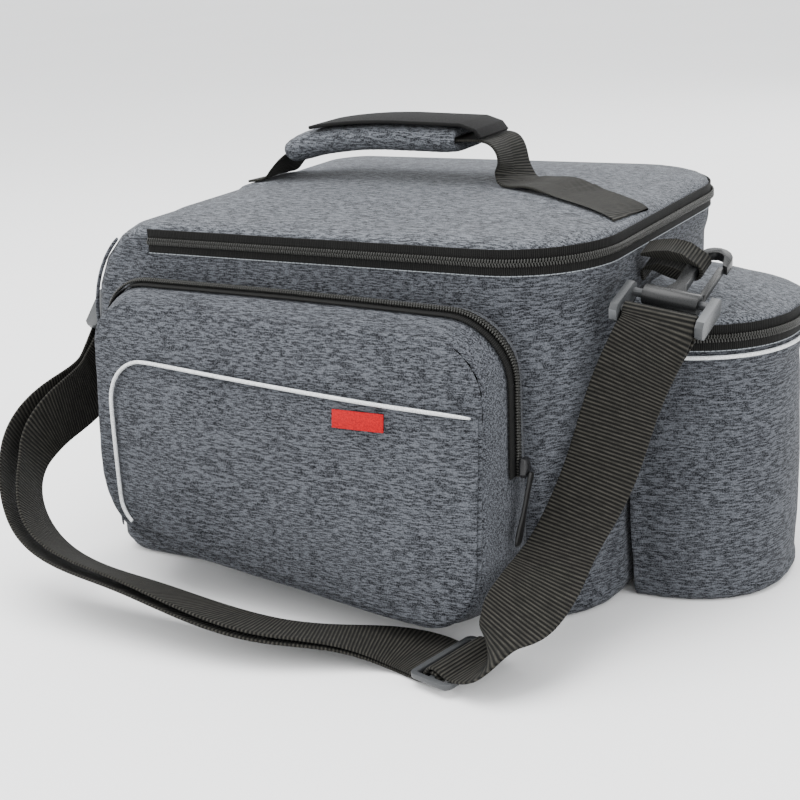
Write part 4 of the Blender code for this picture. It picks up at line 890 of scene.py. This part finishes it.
for side in ("right", "left"):
    put_on(rounded_copy("hook_" + side, "snap_hook_" + side, 0.5 * MM), hook_plastic, "hook_plastic",
           "hook_" + side)
    put_on(rounded_copy("hook_frame_" + side, "ladder_frame_" + side, 0.6 * MM), frame_plastic,
           "hook_plastic", "hook_frame_" + side)
    put_on(rounded_copy("hook_gate_" + side, "gate_lever_" + side, 0.4 * MM), hook_plastic,
           "hook_plastic", "hook_gate_" + side, body="gate_" + side)
put_on(rounded_copy("slider_buckle", "strap_slider", 0.6 * MM), frame_plastic, "hook_plastic",
       "slider_buckle")
for prefix in ("main", "pocket", "bottle"):
    put_on(rounded_copy(prefix + "_slider", prefix + "_zip_slider", 0.4 * MM), slider_metal, "zip_slider",
           prefix + "_slider")
    pull = merged_copy(prefix + "_pull", prefix + "_zip_pull")
    finer(pull, 2)
    smooth(pull, 60.0)
    put_on(pull, pull_plastic, "zip_pull", prefix + "_pull")

# %% [markdown]
# Piping is a covered cord caught in a seam. The solids are six-sided tubes, which one subdivision turns
# round.

# %% Piping and tag
for node, name, finish, slot in (
        ("corner_piping_front", "left_seam_front", cloth_wall, "fabric"),
        ("corner_piping_back", "left_seam_back", cloth_wall, "fabric"),
        ("pocket_piping", "pocket_silver_piping", silver, "silver_piping"),
        ("bottle_piping", "bottle_silver_piping", silver, "silver_piping")):
    piece = merged_copy(node, name)
    finer(piece, 2)
    smooth(piece, 60.0)
    put_on(piece, finish, slot, node)

tag = rounded_copy("label_tab", "red_tag", 0.25 * MM)
put_on(tag, red_tag, "red_label", "label_tab")

# %% [markdown]
# The carrying handle is webbing with a padded wrap round it, closed by a flap. The wrap is cloth over
# foam, so it is subdivided smooth and pressed in with shallow dents. The flap is stiff webbing with a bound
# edge.

# %% Handle
wrap = merged_copy("handle_grip", "handle_wrap")
finer(wrap, 2)
for v in wrap.data.vertices:
    v.co -= v.normal * 0.5 * MM * max(0.0, 0.5 + noise.noise(v.co / (18.0 * MM)))
smooth(wrap, 60.0)
put_on(wrap, cloth_painted_top_light, "fabric", "handle_grip")

flap = rounded_copy("handle_flap", "handle_flap_bound", 0.7 * MM, 3)
put_on(flap, binding, "webbing", "handle_flap")

# %% [markdown]
# Seams are what makes sewn cloth look sewn. One stitch is a short rounded thread; a row of them runs
# along the lower edge of the main zip's tape and of the bottle pocket's.

# %% Stitches
STITCH_SIZE = (2.6 * MM, 0.55 * MM, 0.45 * MM)
STITCH_PITCH = 2.8 * MM
stitch = small_shape("stitch", STITCH_SIZE, 0.18 * MM, 1)


def stitch_row(name, sections, across_share, up_share, finish):
    """A row of stitches along sections, at shares of the half width and half thickness."""
    places = []
    width = np.linalg.norm(sections[:, 1] - sections[:, 0], axis=1).mean()
    height = np.linalg.norm(sections[:, 3] - sections[:, 0], axis=1).mean()
    for middle, run, across, up in stations(sections, STITCH_PITCH):
        lifted = middle + across * across_share * width / 2.0 + up * up_share * height / 2.0
        places.append(basis(lifted, run, across, up))
    piece = copies(name, stitch, places)
    smooth(piece, 50.0)
    return put_on(piece, finish, "fabric")


def outward(sections, centre):
    """1 if the sections' up points away from a centre, and -1 if it points to it."""
    middle, run, across, up = stations(sections, 0.02)[3]
    return 1.0 if up.dot(middle - centre) > 0 else -1.0


def below(sections):
    """1 if the sections' across points down, and -1 if it points up."""
    return 1.0 if stations(sections, 0.02)[3][2].z < 0 else -1.0


bag_middle = Vector((0.0, 0.0, 0.1))
for prefix, centre in (("main", bag_middle), ("bottle", bottle_middle)):
    tape = tapes[prefix]
    face_side = outward(tape, centre)
    stitch_row(prefix + "_zip_stitches", tape, below(tape) * 1.05, face_side * 0.6, thread)
